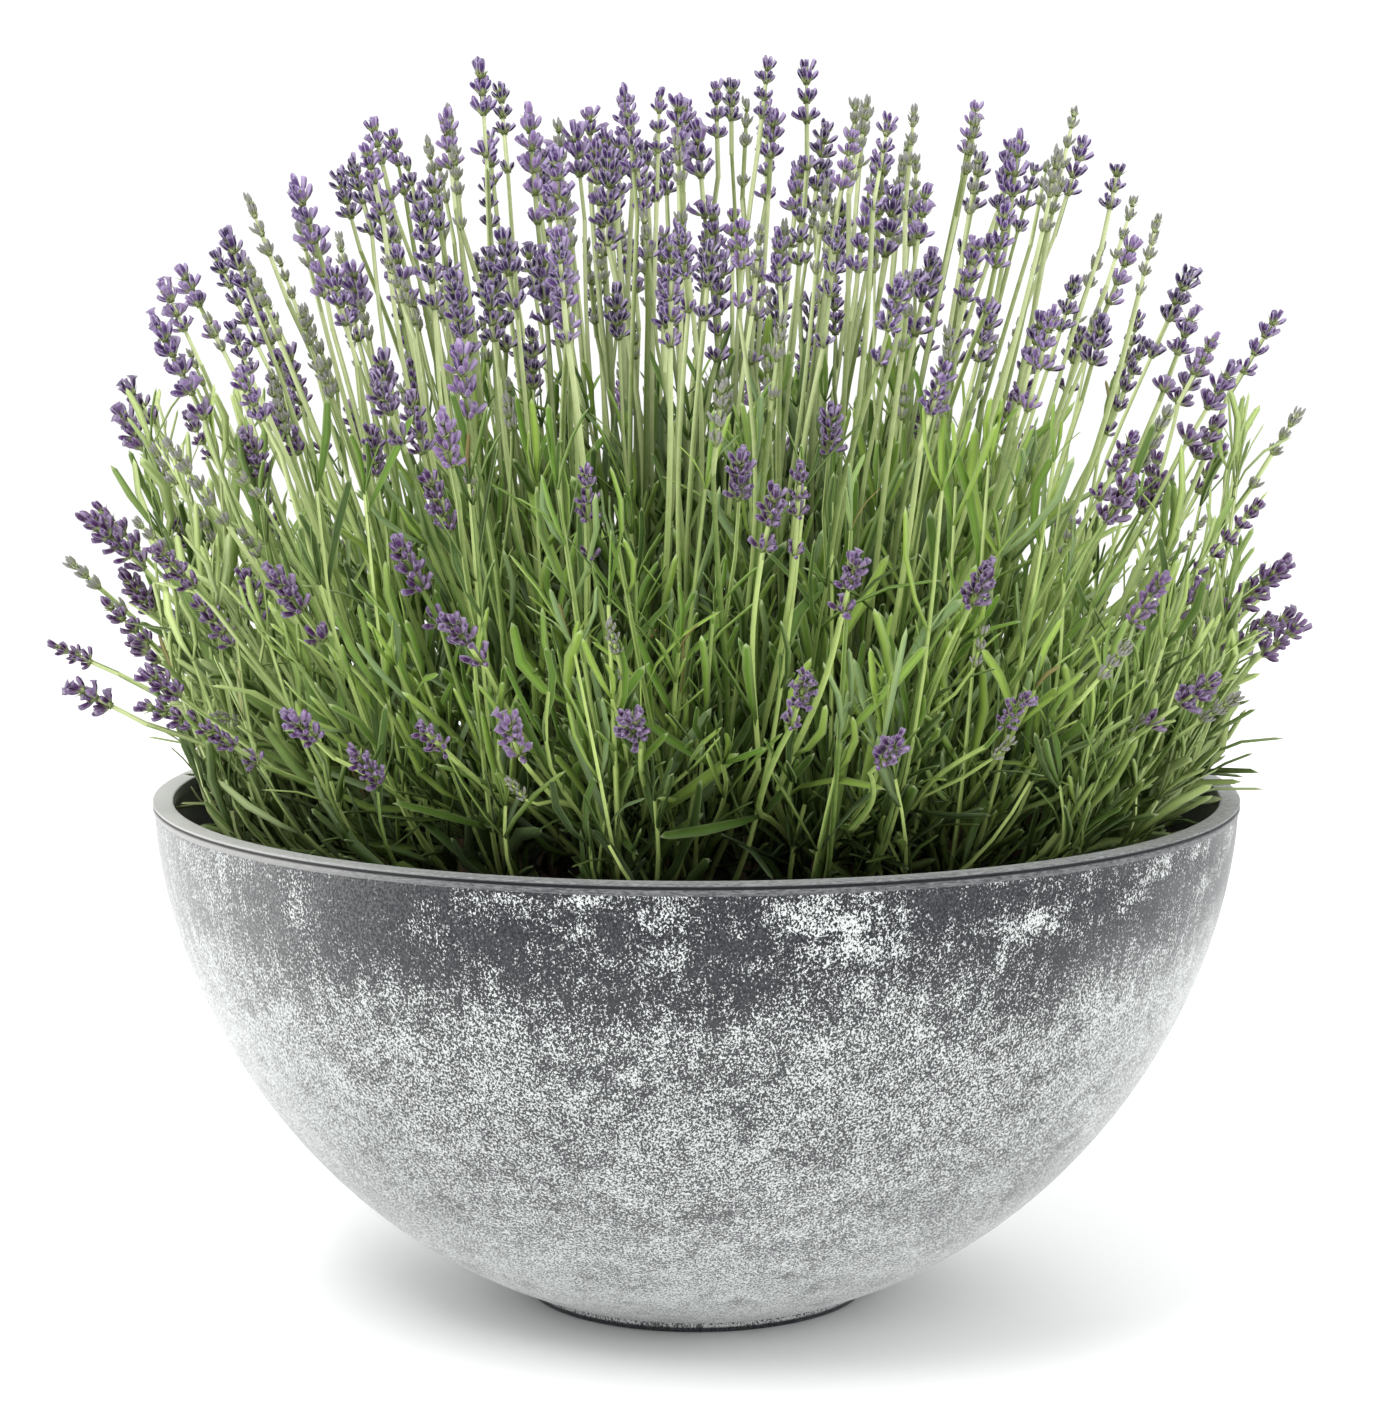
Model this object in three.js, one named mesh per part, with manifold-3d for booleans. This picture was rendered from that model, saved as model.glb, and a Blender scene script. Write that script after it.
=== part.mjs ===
// Potted lavender: a wide half-round bowl, filled with soil and planted with flowering lavender.
// Millimetres, +Z up. The origin is the middle of the bowl's flat foot.
import * as THREE from 'three';
import { mergeVertices } from 'three/addons/utils/BufferGeometryUtils.js';
import Module from 'manifold-3d';

const wasm = await Module();
wasm.setup();

// Bowl
const BOWL_RADIUS = 185;
const BOWL_HEIGHT = 175;
const BOWL_SIDES = 32;
const BODY_STEPS = 7;
const BODY_STEP_POWER = 1.5;
const WALL = 5;
const BODY_RADIUS = 184.5;
const BODY_DEPTH = 182.5;
const BODY_POWER = 1.8;
const FOOT_RADIUS = 59;
const FOOT_HEIGHT = 4;
const FLOOR_HEIGHT = 9;
const LIP_WIDTH = 9;
const LIP_HEIGHT = 2.2;
const BEAD_HEIGHT = 3.2;
const GROOVE = 1;

// Soil, and the plain holes that the sprays stand in
const SOIL_HEIGHT = 153;
const INNER_STEPS = 3;
const INNER_STEP_POWER = 0.75;
const FIT_GAP = 0.5;
const ROOT_DEPTH = 18;

// Plan of the planting, in units of PLANT_RADIUS at the soil
const PLANT_RADIUS = 125;
const SPRAYS = 54;
const SPRAY_EDGE = 0.97;
const SHOOTS = 522;
const SHOOT_EDGE = 1.1;
const FLOWER_EDGE = 1.04;
const JITTER = 0.03;
const LEAF_REACH = 0.33;
const GOLDEN_ANGLE = Math.PI * (3 - Math.sqrt(5));

// Out of every ten shoots in turn, the ones that are leaves; the rest flower
const TURNS = 10;
const LEAFY_TURNS = [1, 3, 6, 8];

// Growth: a shoot rises upright, then leans out, the more the nearer it stands to the edge
const EVEN_LEAN = 0.367;
const FLARE_LEAN = 0.52;
const FLARE_POWER = 8;
const LEAN_LIMIT = 1.4;
const UPRIGHT_LENGTH = 30;
const SAG = 0.0006;
const SPREAD_START = 0.34;
const SHORTEST_SHOOT = 40;
const LONGEST_SHOOT = 330;
const HALVINGS = 40;

// Outline of the whole crown above the rim, and how far a short flower stays below it;
// near the edge the flowers stay closer to the outline
const CROWN_RADIUS = 220;
const CROWN_HEIGHT = 252;
const CROWN_POWER = 3;
const SHORTFALL = 70;
const EDGE_FULLNESS = 0.6;

// Woody foot of a spray, and the fork on it that all its shoots leave from
const WOOD_RADIUS = 3.5;
const NECK_HEIGHT = 3;
const FORK_HEIGHT = 22;
const FORK_RADIUS = 11.5;
const FORK_SPACING = 3.3;
const FORK_ROOM = 6.6;
const SETTLING_ROUNDS = 60;

// Stems with their flower heads, and leaves
const STEM_RADIUS = 1.4;
const HEAD_LENGTH = 26;
const HEAD_EXTRA = 13;
const LONG_HEAD_SHARE = 0.1;
const WHORL_RADIUS = 6.2;
const LEAF_LENGTH = 52;
const LEAF_WIDTH = 4.2;
const LEAF_THICKNESS = 1.1;
const LEAF_SWING = 0.6;
const LEAST_FORK_LEAF = 0.9;
const MOST_FORK_LEAF = 1.2;
const NODE_LOWEST = 45;
const NODE_HIGHEST = 90;
const OUTER_NODES_LOWER = 0.7;
const NODE_LENGTH = 3.2;
const NODE_TO_HEAD = 14;
const LEAF_TURN = Math.PI / 6;
const LEAST_FACING = 0.4;

const UP = new THREE.Vector3(0, 0, 1);
const SIXTH = Math.PI / 3;
const STEM_GREEN = new THREE.Color(0x7fa04a);
const FLOWER_VIOLET = new THREE.Color(0x6a5294);

// Whorls of florets up a flower head: share of its length, share of the whorl radius, sixths of a turn
const SHORT_HEAD = [[0.36, 0.88, 0], [0.33, 0.27, 1], [0.8, 1, 1]];
const LONG_HEAD = [[0.2, 0.84, 0], [0.2, 0.22, 1], [0.58, 1, 1], [0.55, 0.4, 2], [0.86, 0.84, 2]];

// Repeatable draw between 0 and 1
let seed = 7;
function draw() {
  seed = (seed * 1664525 + 1013904223) % 4294967296;
  return seed / 4294967296;
}

function mix(from, to, share) {
  return from + (to - from) * share;
}

function clamp(value, low, high) {
  return Math.min(Math.max(value, low), high);
}

function towards(from, to) {
  return to.clone().sub(from).normalize();
}

// A vector made square to the way a shoot grows
function squared(vector, growth) {
  return vector.clone().addScaledVector(growth, -vector.dot(growth)).normalize();
}

// A ring of points round a centre, counter-clockwise as seen from the way the shoot grows
function ring(centre, growth, across, radius, sides, turn) {
  const side = squared(across, growth);
  const other = growth.clone().cross(side);
  const points = [];
  for (let i = 0; i < sides; i += 1) {
    const angle = turn + (i / sides) * 2 * Math.PI;
    const point = centre.clone().addScaledVector(side, radius * Math.cos(angle));
    points.push(point.addScaledVector(other, radius * Math.sin(angle)));
  }
  return points;
}

// One closed skin that grows ring by ring; each point keeps its own colour
class Skin {
  constructor() {
    this.positions = [];
    this.colours = [];
    this.faces = [];
  }

  ring(points, colour = STEM_GREEN) {
    const first = this.positions.length / 3;
    for (const point of points) {
      this.positions.push(point.x, point.y, point.z);
      this.colours.push(colour.r, colour.g, colour.b);
    }
    return points.map((_, i) => first + i);
  }

  gap(a, b) {
    const at = (i, axis) => this.positions[3 * i + axis];
    return Math.hypot(at(a, 0) - at(b, 0), at(a, 1) - at(b, 1), at(a, 2) - at(b, 2));
  }

  // Walls between two rings of equal count, split the shorter way
  walls(below, above) {
    for (let i = 0; i < below.length; i += 1) {
      const next = (i + 1) % below.length;
      if (this.gap(below[i], above[next]) < this.gap(below[next], above[i])) {
        this.faces.push([below[i], below[next], above[next]], [below[i], above[next], above[i]]);
      } else {
        this.faces.push([below[i], below[next], above[i]], [above[i], below[next], above[next]]);
      }
    }
  }

  tip(below, point, colour = STEM_GREEN) {
    const [top] = this.ring([point], colour);
    below.forEach((corner, i) => this.faces.push([corner, below[(i + 1) % below.length], top]));
  }

  cap(corners) {
    for (let i = 2; i < corners.length; i += 1) this.faces.push([corners[0], corners[i - 1], corners[i]]);
  }

  geometry() {
    const geometry = new THREE.BufferGeometry();
    geometry.setAttribute('position', new THREE.Float32BufferAttribute(this.positions, 3));
    geometry.setAttribute('color', new THREE.Float32BufferAttribute(this.colours, 3));
    geometry.setIndex(this.faces.flat());
    geometry.computeVertexNormals();
    return geometry;
  }
}

// A body turned about the upright axis, from a list of [radius, height]
function turned(profile) {
  const points = profile.map(([radius, height]) => new THREE.Vector2(radius, height));
  const geometry = new THREE.LatheGeometry(points, BOWL_SIDES);
  geometry.rotateX(Math.PI / 2);
  return geometry;
}

// Radius of the bowl's outer face, and of its inner face, at a height above the ground
function outerRadius(height) {
  return BODY_RADIUS * Math.sqrt(1 - ((BOWL_HEIGHT - height) / BODY_DEPTH) ** BODY_POWER);
}

function innerRadius(height) {
  const depth = (BOWL_HEIGHT - height) / (BODY_DEPTH - WALL);
  return (BODY_RADIUS - WALL) * Math.sqrt(1 - depth ** BODY_POWER);
}

// Heights where the inner face has its corners, from the soil's surface down to the floor
const innerHeights = [];
for (let i = 0; i <= INNER_STEPS; i += 1) {
  innerHeights.push(mix(SOIL_HEIGHT, FLOOR_HEIGHT, (i / INNER_STEPS) ** INNER_STEP_POWER));
}

// The bowl: a flat foot, a round body, a bead and a lip at the rim, and the inside
function bowlGeometry() {
  const bodyTop = BOWL_HEIGHT - LIP_HEIGHT - GROOVE - BEAD_HEIGHT;
  const profile = [[0, 0], [FOOT_RADIUS, 0], [FOOT_RADIUS, FOOT_HEIGHT]];
  for (let i = 0; i <= BODY_STEPS; i += 1) {
    const height = mix(FOOT_HEIGHT, bodyTop, (i / BODY_STEPS) ** BODY_STEP_POWER);
    profile.push([outerRadius(height), height]);
  }
  profile.push([BOWL_RADIUS, bodyTop + BEAD_HEIGHT / 2]);
  profile.push([BOWL_RADIUS - GROOVE, bodyTop + BEAD_HEIGHT]);
  profile.push([BOWL_RADIUS, BOWL_HEIGHT - LIP_HEIGHT]);
  profile.push([BOWL_RADIUS, BOWL_HEIGHT]);
  profile.push([BOWL_RADIUS - LIP_WIDTH, BOWL_HEIGHT]);
  profile.push([BOWL_RADIUS - LIP_WIDTH, bodyTop]);
  for (const height of innerHeights) profile.push([innerRadius(height), height]);
  profile.push([0, FLOOR_HEIGHT]);
  return turned(profile);
}

// Where a shoot planned at (u, v) has got to once it has grown a length t out of the soil
function grown(u, v, t) {
  const place = Math.max(Math.hypot(u, v), 1e-6);
  const lean = Math.min(LEAN_LIMIT, EVEN_LEAN * place + FLARE_LEAN * place ** FLARE_POWER);
  const above = Math.max(t, 0);
  const out = (Math.sin(lean) * above * above) / (above + UPRIGHT_LENGTH);
  const easing = ((1 - Math.cos(lean)) * UPRIGHT_LENGTH * t) / (above + UPRIGHT_LENGTH);
  const height = SOIL_HEIGHT + Math.cos(lean) * t + easing - SAG * out * out;
  const radius = PLANT_RADIUS * place + out;
  return new THREE.Vector3((radius * u) / place, (radius * v) / place, height);
}

// The length at which a shoot reaches the crown's outline
function fullLength(u, v) {
  let short = SHORTEST_SHOOT;
  let long = LONGEST_SHOOT;
  for (let i = 0; i < HALVINGS; i += 1) {
    const t = (short + long) / 2;
    const point = grown(u, v, t);
    const wide = Math.hypot(point.x, point.y) / CROWN_RADIUS;
    const tall = Math.max(point.z - BOWL_HEIGHT, 0) / CROWN_HEIGHT;
    if (wide ** CROWN_POWER + tall ** CROWN_POWER < 1) short = t;
    else long = t;
  }
  return short;
}

function apart(one, other) {
  return Math.hypot(one.u - other.u, one.v - other.v);
}

function nearest(shoot, others) {
  return others.reduce((best, other) => (apart(shoot, other) < apart(shoot, best) ? other : best));
}

// The plan: places on a spiral, so that no two shoots stand close together
function spiralPlace(i, count, edge) {
  const place = edge * Math.sqrt((i + 0.5) / count);
  return { u: place * Math.cos(i * GOLDEN_ANGLE), v: place * Math.sin(i * GOLDEN_ANGLE), place };
}

const sprays = [];
for (let i = 0; i < SPRAYS; i += 1) {
  const spray = spiralPlace(i, SPRAYS, SPRAY_EDGE);
  spray.node = mix(NODE_LOWEST, NODE_HIGHEST, draw() * (1 - OUTER_NODES_LOWER * spray.place));
  spray.stems = [];
  spray.leaves = [];
  sprays.push(spray);
}
for (let i = 0; i < SHOOTS; i += 1) {
  const shoot = spiralPlace(i, SHOOTS, SHOOT_EDGE);
  shoot.u += JITTER * (draw() - 0.5);
  shoot.v += JITTER * (draw() - 0.5);
  shoot.vigour = draw();
  shoot.bloom = draw();
  shoot.twist = draw() * 2 * Math.PI;
  shoot.low = shoot.place > FLOWER_EDGE;
  const home = nearest(shoot, sprays);
  if (shoot.low && apart(shoot, home) > LEAF_REACH) continue;
  const leafy = shoot.low || LEAFY_TURNS.includes(i % TURNS);
  (leafy ? home.leaves : home.stems).push(shoot);
}

// A shoot starts close to its spray's foot, and reaches its own place in the plan at the nodes
function planned(spray, shoot, t) {
  const share = mix(SPREAD_START, 1, clamp((t - FORK_HEIGHT) / (spray.node - FORK_HEIGHT), 0, 1));
  return [mix(spray.u, shoot.u, share), mix(spray.v, shoot.v, share)];
}

function shootPoint(spray, shoot, t) {
  return grown(...planned(spray, shoot, t), t);
}

function acrossAt(shoot) {
  return new THREE.Vector3(-shoot.v, shoot.u, 0).normalize();
}

// A closed geometry as a solid that can be cut
function solidOf(geometry) {
  const bare = geometry.clone();
  for (const name of ['normal', 'uv', 'color']) bare.deleteAttribute(name);
  const merged = mergeVertices(bare, 1e-3);
  const index = merged.index.array;
  const corners = [];
  for (let i = 0; i < index.length; i += 3) {
    const [a, b, c] = [index[i], index[i + 1], index[i + 2]];
    if (a !== b && b !== c && c !== a) corners.push(a, b, c);
  }
  const mesh = new wasm.Mesh({
    numProp: 3,
    vertProperties: new Float32Array(merged.attributes.position.array),
    triVerts: new Uint32Array(corners),
  });
  return new wasm.Manifold(mesh);
}

function geometryOf(solid) {
  const mesh = solid.getMesh();
  const geometry = new THREE.BufferGeometry();
  geometry.setAttribute('position', new THREE.Float32BufferAttribute(mesh.vertProperties, 3));
  geometry.setIndex(Array.from(mesh.triVerts));
  geometry.computeVertexNormals();
  return geometry;
}

// The square hole in the soil that a spray's foot stands in
function holeSolid(spray) {
  const bottom = grown(spray.u, spray.v, -ROOT_DEPTH - FIT_GAP);
  const top = bottom.clone().addScaledVector(UP, ROOT_DEPTH + 2 * NECK_HEIGHT);
  const radius = WOOD_RADIUS + FIT_GAP * Math.SQRT2;
  const skin = new Skin();
  const below = skin.ring(ring(bottom, UP, acrossAt(spray), radius, 4, 0));
  const above = skin.ring(ring(top, UP, acrossAt(spray), radius, 4, 0));
  skin.cap([...below].reverse());
  skin.walls(below, above);
  skin.cap(above);
  return solidOf(skin.geometry());
}

// The soil fills the bowl to its surface, less a small gap all round
function soilGeometry() {
  const profile = [[0, FLOOR_HEIGHT + FIT_GAP]];
  for (const height of [...innerHeights].reverse()) {
    profile.push([innerRadius(height) - FIT_GAP, Math.max(height, FLOOR_HEIGHT + FIT_GAP)]);
  }
  profile.push([0, SOIL_HEIGHT]);
  const holes = wasm.Manifold.union(sprays.map(holeSolid));
  return geometryOf(solidOf(turned(profile)).subtract(holes));
}

// Offsets on the fork for its shoots, pushed apart until no two roots touch
function forkOffsets(spray) {
  const shoots = [...spray.stems, ...spray.leaves.filter((leaf) => leaf.low)];
  const reach = SPREAD_START * PLANT_RADIUS;
  const spots = shoots.map(({ u, v }) => new THREE.Vector2(u - spray.u, v - spray.v).multiplyScalar(reach));
  for (let round = 0; round < SETTLING_ROUNDS; round += 1) {
    for (const [i, one] of spots.entries()) {
      for (const other of spots.slice(i + 1)) {
        const push = (FORK_SPACING - one.distanceTo(other)) / 2;
        if (push <= 0) continue;
        const way = one.clone().sub(other).setLength(push);
        one.add(way);
        other.sub(way);
      }
      one.clampLength(0, FORK_ROOM);
    }
  }
  return new Map(shoots.map((shoot, i) => [shoot, spots[i]]));
}

// The woody foot, widening to a square fork whose top is left open where each shoot leaves it
function addFoot(skin, spray) {
  const across = acrossAt(spray);
  const bottom = grown(spray.u, spray.v, -ROOT_DEPTH);
  const neck = grown(spray.u, spray.v, NECK_HEIGHT);
  const fork = grown(spray.u, spray.v, FORK_HEIGHT);
  const growth = towards(neck, fork);
  const rings = [
    skin.ring(ring(bottom, UP, across, WOOD_RADIUS, 4, 0)),
    skin.ring(ring(neck, UP, across, WOOD_RADIUS, 4, 0)),
    skin.ring(ring(fork, growth, across, FORK_RADIUS, 4, 0)),
  ];
  skin.cap([...rings[0]].reverse());
  skin.walls(rings[0], rings[1]);
  skin.walls(rings[1], rings[2]);

  const side = squared(across, growth);
  const other = growth.clone().cross(side);
  const flat = (point) => {
    const offset = point.clone().sub(fork);
    return new THREE.Vector2(offset.dot(side), offset.dot(other));
  };
  const holes = [];
  const corners = [...rings[2]];
  const roots = new Map();
  for (const [shoot, spot] of forkOffsets(spray)) {
    const offset = new THREE.Vector3(spot.x, spot.y, 0);
    const centre = fork.clone().add(offset).addScaledVector(growth, -offset.dot(growth));
    const points = ring(centre, growth, across, STEM_RADIUS, 3, shoot.low ? LEAF_TURN : shoot.twist);
    const indices = skin.ring(points);
    roots.set(shoot, indices);
    holes.push(points.map(flat));
    corners.push(...indices);
  }
  const outline = ring(fork, growth, across, FORK_RADIUS, 4, 0).map(flat);
  const places = [outline, ...holes].flat();
  for (const [a, b, c] of THREE.ShapeUtils.triangulateShape(outline, holes)) {
    const turn = places[b].clone().sub(places[a]).cross(places[c].clone().sub(places[a]));
    const face = turn > 0 ? [a, b, c] : [a, c, b];
    skin.faces.push(face.map((i) => corners[i]));
  }
  return roots;
}

// Leaves leave a stem at a node, one on each face, and head for their own places in the plan;
// a leaf's root takes the place of the face's upper triangle
function addNodeLeaves(skin, spray, stem, low, high, growth) {
  const faces = [0, 1, 2];
  for (const leaf of stem.leaves) {
    if (faces.length === 0) break;
    const tipLength = spray.node + LEAF_LENGTH;
    const tip = shootPoint(spray, leaf, tipLength);
    const start = shootPoint(spray, stem, spray.node);
    const heading = squared(towards(start, tip), growth);
    const facing = (i) => {
      const edge = low.points[i].clone().lerp(low.points[(i + 1) % 3], 0.5);
      return squared(edge.sub(start), growth).dot(heading);
    };
    faces.sort((one, other) => facing(other) - facing(one));
    if (facing(faces[0]) < LEAST_FACING) continue;
    const i = faces.shift();
    const next = (i + 1) % 3;
    const root = [high.indices[next], high.indices[i], low.indices[i]];
    skin.faces = skin.faces.filter((face) => !root.every((corner) => face.includes(corner)));
    const sideways = mix(stem.u, leaf.u, LEAF_SWING);
    const forwards = mix(stem.v, leaf.v, LEAF_SWING);
    const middle = grown(sideways, forwards, mix(spray.node, tipLength, 0.5));
    addBlade(skin, root, start, middle, tip, towards(high.points[i], high.points[next]));
  }
}

// A narrow blade with a keel below, grown from a root ring of three points
function addBlade(skin, root, start, middle, tip, across) {
  const growth = towards(start, middle);
  const width = squared(across, growth);
  const keel = growth.clone().cross(width).multiplyScalar(-LEAF_THICKNESS);
  const section = skin.ring([
    middle.clone().addScaledVector(width, LEAF_WIDTH / 2),
    middle.clone().addScaledVector(width, -LEAF_WIDTH / 2),
    middle.clone().add(keel),
  ]);
  skin.walls(root, section);
  skin.tip(section, tip);
}

// A flower stem from the fork, with a node if it carries leaves, and the head at its end
function addStem(skin, spray, shoot, root) {
  const across = acrossAt(spray);
  const headLength = HEAD_LENGTH + HEAD_EXTRA * shoot.bloom;
  const shortfall = SHORTFALL * shoot.vigour * (1 - EDGE_FULLNESS * shoot.place ** 4);
  const grownLength = fullLength(shoot.u, shoot.v) - shortfall;
  const tipLength = Math.max(grownLength, spray.node + NODE_TO_HEAD + headLength);
  const headStart = tipLength - headLength;
  const base = grown(shoot.u, shoot.v, headStart);
  const node = grown(shoot.u, shoot.v, spray.node);
  const growth = towards(node, base);
  const lowPoints = ring(node, growth, across, STEM_RADIUS, 3, shoot.twist);
  const low = { points: lowPoints, indices: skin.ring(lowPoints) };
  skin.walls(root, low.indices);
  let below = low.indices;
  if (shoot.leaves.length > 0) {
    const top = node.clone().addScaledVector(growth, NODE_LENGTH);
    const highPoints = ring(top, growth, across, STEM_RADIUS, 3, shoot.twist);
    const high = { points: highPoints, indices: skin.ring(highPoints) };
    low.indices.forEach((corner, i) => {
      const next = (i + 1) % 3;
      skin.faces.push([corner, low.indices[next], high.indices[next]]);
      skin.faces.push([corner, high.indices[next], high.indices[i]]);
    });
    addNodeLeaves(skin, spray, shoot, low, high, growth);
    below = high.indices;
  }
  const tip = grown(shoot.u, shoot.v, tipLength);
  const headGrowth = towards(base, tip);
  const neck = skin.ring(ring(base, headGrowth, across, STEM_RADIUS, 3, shoot.twist));
  skin.walls(below, neck);
  below = neck;
  const whorls = shoot.bloom > 1 - LONG_HEAD_SHARE ? LONG_HEAD : SHORT_HEAD;
  for (const [share, width, turn] of whorls) {
    const centre = base.clone().lerp(tip, share);
    const twist = shoot.twist + turn * SIXTH;
    const points = ring(centre, headGrowth, across, WHORL_RADIUS * width, 3, twist);
    const whorl = skin.ring(points, FLOWER_VIOLET);
    skin.walls(below, whorl);
    below = whorl;
  }
  skin.tip(below, tip, FLOWER_VIOLET);
}

// A leaf that leaves the fork by itself
function addForkLeaf(skin, spray, shoot, root) {
  const share = mix(LEAST_FORK_LEAF, MOST_FORK_LEAF, shoot.vigour);
  const tipLength = FORK_HEIGHT + share * LEAF_LENGTH;
  const start = shootPoint(spray, shoot, FORK_HEIGHT);
  const middle = shootPoint(spray, shoot, mix(FORK_HEIGHT, tipLength, 0.5));
  const tip = shootPoint(spray, shoot, tipLength);
  addBlade(skin, root, start, middle, tip, acrossAt(shoot));
}

function sprayGeometry(spray) {
  for (const stem of spray.stems) stem.leaves = [];
  for (const leaf of spray.leaves) {
    if (!leaf.low) nearest(leaf, spray.stems).leaves.push(leaf);
  }
  const skin = new Skin();
  const roots = addFoot(skin, spray);
  for (const [shoot, root] of roots) {
    if (spray.stems.includes(shoot)) addStem(skin, spray, shoot, root);
    else addForkLeaf(skin, spray, shoot, root);
  }
  return skin.geometry();
}

const potPlastic = new THREE.MeshStandardMaterial({ color: 0x9a9c9f, roughness: 0.8, metalness: 0 });
const soilBrown = new THREE.MeshStandardMaterial({ color: 0x2e231b, roughness: 1, metalness: 0 });

const lavender = new THREE.Group();

const bowl = new THREE.Mesh(bowlGeometry(), potPlastic);
bowl.name = 'bowl';
lavender.add(bowl);

const soil = new THREE.Mesh(soilGeometry(), soilBrown);
soil.name = 'soil';
lavender.add(soil);

sprays.forEach((spray, i) => {
  const material = new THREE.MeshStandardMaterial({ vertexColors: true, roughness: 0.8, metalness: 0 });
  const mesh = new THREE.Mesh(sprayGeometry(spray), material);
  mesh.name = `spray_${String(i + 1).padStart(2, '0')}`;
  lavender.add(mesh);
});

export default lavender;
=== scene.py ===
# %% [markdown]
# # Potted lavender
# A low half-round bowl, filled with soil and planted with a dense dome of lavender in flower.
# The measured model of the bowl, the soil and the 54 sprays is loaded first. It fixes every size and
# place. The cells after that dress it: a turned bowl with a speckled finish, loose soil, and sprays
# with square stems, narrow leaves and whorls of small tubular flowers.

# %% Load the measured model
import math

import bmesh
import bpy
from mathutils import Matrix, Vector
from mathutils import noise as hills


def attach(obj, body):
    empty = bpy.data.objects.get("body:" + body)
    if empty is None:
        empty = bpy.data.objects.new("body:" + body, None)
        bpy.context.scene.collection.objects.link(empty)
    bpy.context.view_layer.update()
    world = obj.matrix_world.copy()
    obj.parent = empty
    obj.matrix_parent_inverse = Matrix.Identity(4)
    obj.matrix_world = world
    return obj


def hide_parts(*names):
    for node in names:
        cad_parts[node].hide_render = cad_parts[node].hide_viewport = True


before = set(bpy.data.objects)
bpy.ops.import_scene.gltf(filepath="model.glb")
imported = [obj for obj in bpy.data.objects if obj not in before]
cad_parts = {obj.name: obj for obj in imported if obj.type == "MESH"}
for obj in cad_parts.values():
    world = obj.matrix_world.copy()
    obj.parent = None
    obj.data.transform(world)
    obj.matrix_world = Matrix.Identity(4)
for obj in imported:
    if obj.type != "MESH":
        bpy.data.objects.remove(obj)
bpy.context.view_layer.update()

# %% [markdown]
# ## Camera and light
# The bowl was looked at from a little above its rim, from about 1.25 metres away, so that the rim
# shows as a flat ellipse. A camera could be placed by eye, but here its place is worked out from the
# point it looks at, its height angle and its distance, because those three can be checked one by one.

# %% Camera
CAMERA_DISTANCE = 1.25
CAMERA_ELEVATION = math.radians(7.57)
FIELD_HEIGHT = 0.4869
SENSOR_SIZE = 36
AIM_RIGHT = 0.0012
AIM_ABOVE_RIM = 0.0275
BOWL_HEIGHT = 0.175

view_up = Vector((0, math.sin(CAMERA_ELEVATION), math.cos(CAMERA_ELEVATION)))
view_back = Vector((0, -math.cos(CAMERA_ELEVATION), math.sin(CAMERA_ELEVATION)))
aim = Vector((AIM_RIGHT, 0, BOWL_HEIGHT)) + AIM_ABOVE_RIM * view_up

camera_data = bpy.data.cameras.new("camera")
camera_data.sensor_width = SENSOR_SIZE
camera_data.lens = SENSOR_SIZE * CAMERA_DISTANCE / FIELD_HEIGHT
camera = bpy.data.objects.new("camera", camera_data)
camera.location = aim + CAMERA_DISTANCE * view_back
camera.rotation_euler = (math.pi / 2 - CAMERA_ELEVATION, 0, 0)
bpy.context.scene.collection.objects.link(camera)
bpy.context.scene.camera = camera
print("camera lens", round(camera_data.lens, 1), "mm")

# %% [markdown]
# A studio for a plant is a pale room with wide soft lamps. The strongest stands high on the left and
# in front, a weak one fills from the right, and a third lifts the far side of the dome.
# Wide lamps are chosen over small ones, because fine leaves under a small lamp turn to noise.

# %% Soft lamps and a pale surrounding
LAMP_TARGET = Vector((0, 0, 0.22))
# Each lamp: where it stands, its width in metres and its power.
LAMPS = {
    "key lamp": ((-0.7, -1.2, 1.9), 0.8, 24),
    "fill lamp": ((1.6, -0.6, 0.8), 1.2, 5),
    "back lamp": ((0.3, 1.5, 1.6), 1.2, 10),
}
ROOM_LIGHT = 1.06

for name, (place, size, power) in LAMPS.items():
    lamp_data = bpy.data.lights.new(name, "AREA")
    lamp_data.size = size
    lamp_data.energy = power
    lamp = bpy.data.objects.new(name, lamp_data)
    lamp.location = place
    lamp.rotation_euler = (Vector(place) - LAMP_TARGET).to_track_quat("Z", "Y").to_euler()
    bpy.context.scene.collection.objects.link(lamp)

world = bpy.data.worlds.new("pale room")
world.use_nodes = True
room = world.node_tree.nodes["Background"].inputs
room["Color"].default_value = (1.0, 1.0, 1.0, 1)
room["Strength"].default_value = ROOM_LIGHT
bpy.context.scene.world = world
bpy.context.scene.view_settings.view_transform = "Standard"
print("lamps:", list(LAMPS))

# %% [markdown]
# ## Tools for materials
# Every finish is a small web of nodes around one shader. Writing each node out takes many lines, so
# one helper adds a node and fills its sockets: a plain value is set, and an output is linked.

# %% Helpers for materials
FINE_BUMP = 0.0002


def new_finish(name, roughness, **shader_values):
    """A material with its shader's even values set on the shader's own sockets."""
    finish = bpy.data.materials.new(name)
    finish.use_nodes = True
    shader = finish.node_tree.nodes["Principled BSDF"]
    shader.inputs["Roughness"].default_value = roughness
    for socket, value in shader_values.items():
        shader.inputs[socket.replace("_", " ")].default_value = value
    return finish, finish.node_tree, shader


def add_node(tree, kind, sockets=None, **settings):
    """Adds a node; sockets maps a socket's name or number to a value or to another node's output."""
    made = tree.nodes.new(kind)
    for setting, value in settings.items():
        setattr(made, setting, value)
    for key, value in (sockets or {}).items():
        if isinstance(value, bpy.types.NodeSocket):
            tree.links.new(value, made.inputs[key])
        else:
            made.inputs[key].default_value = value
    return made


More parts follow.
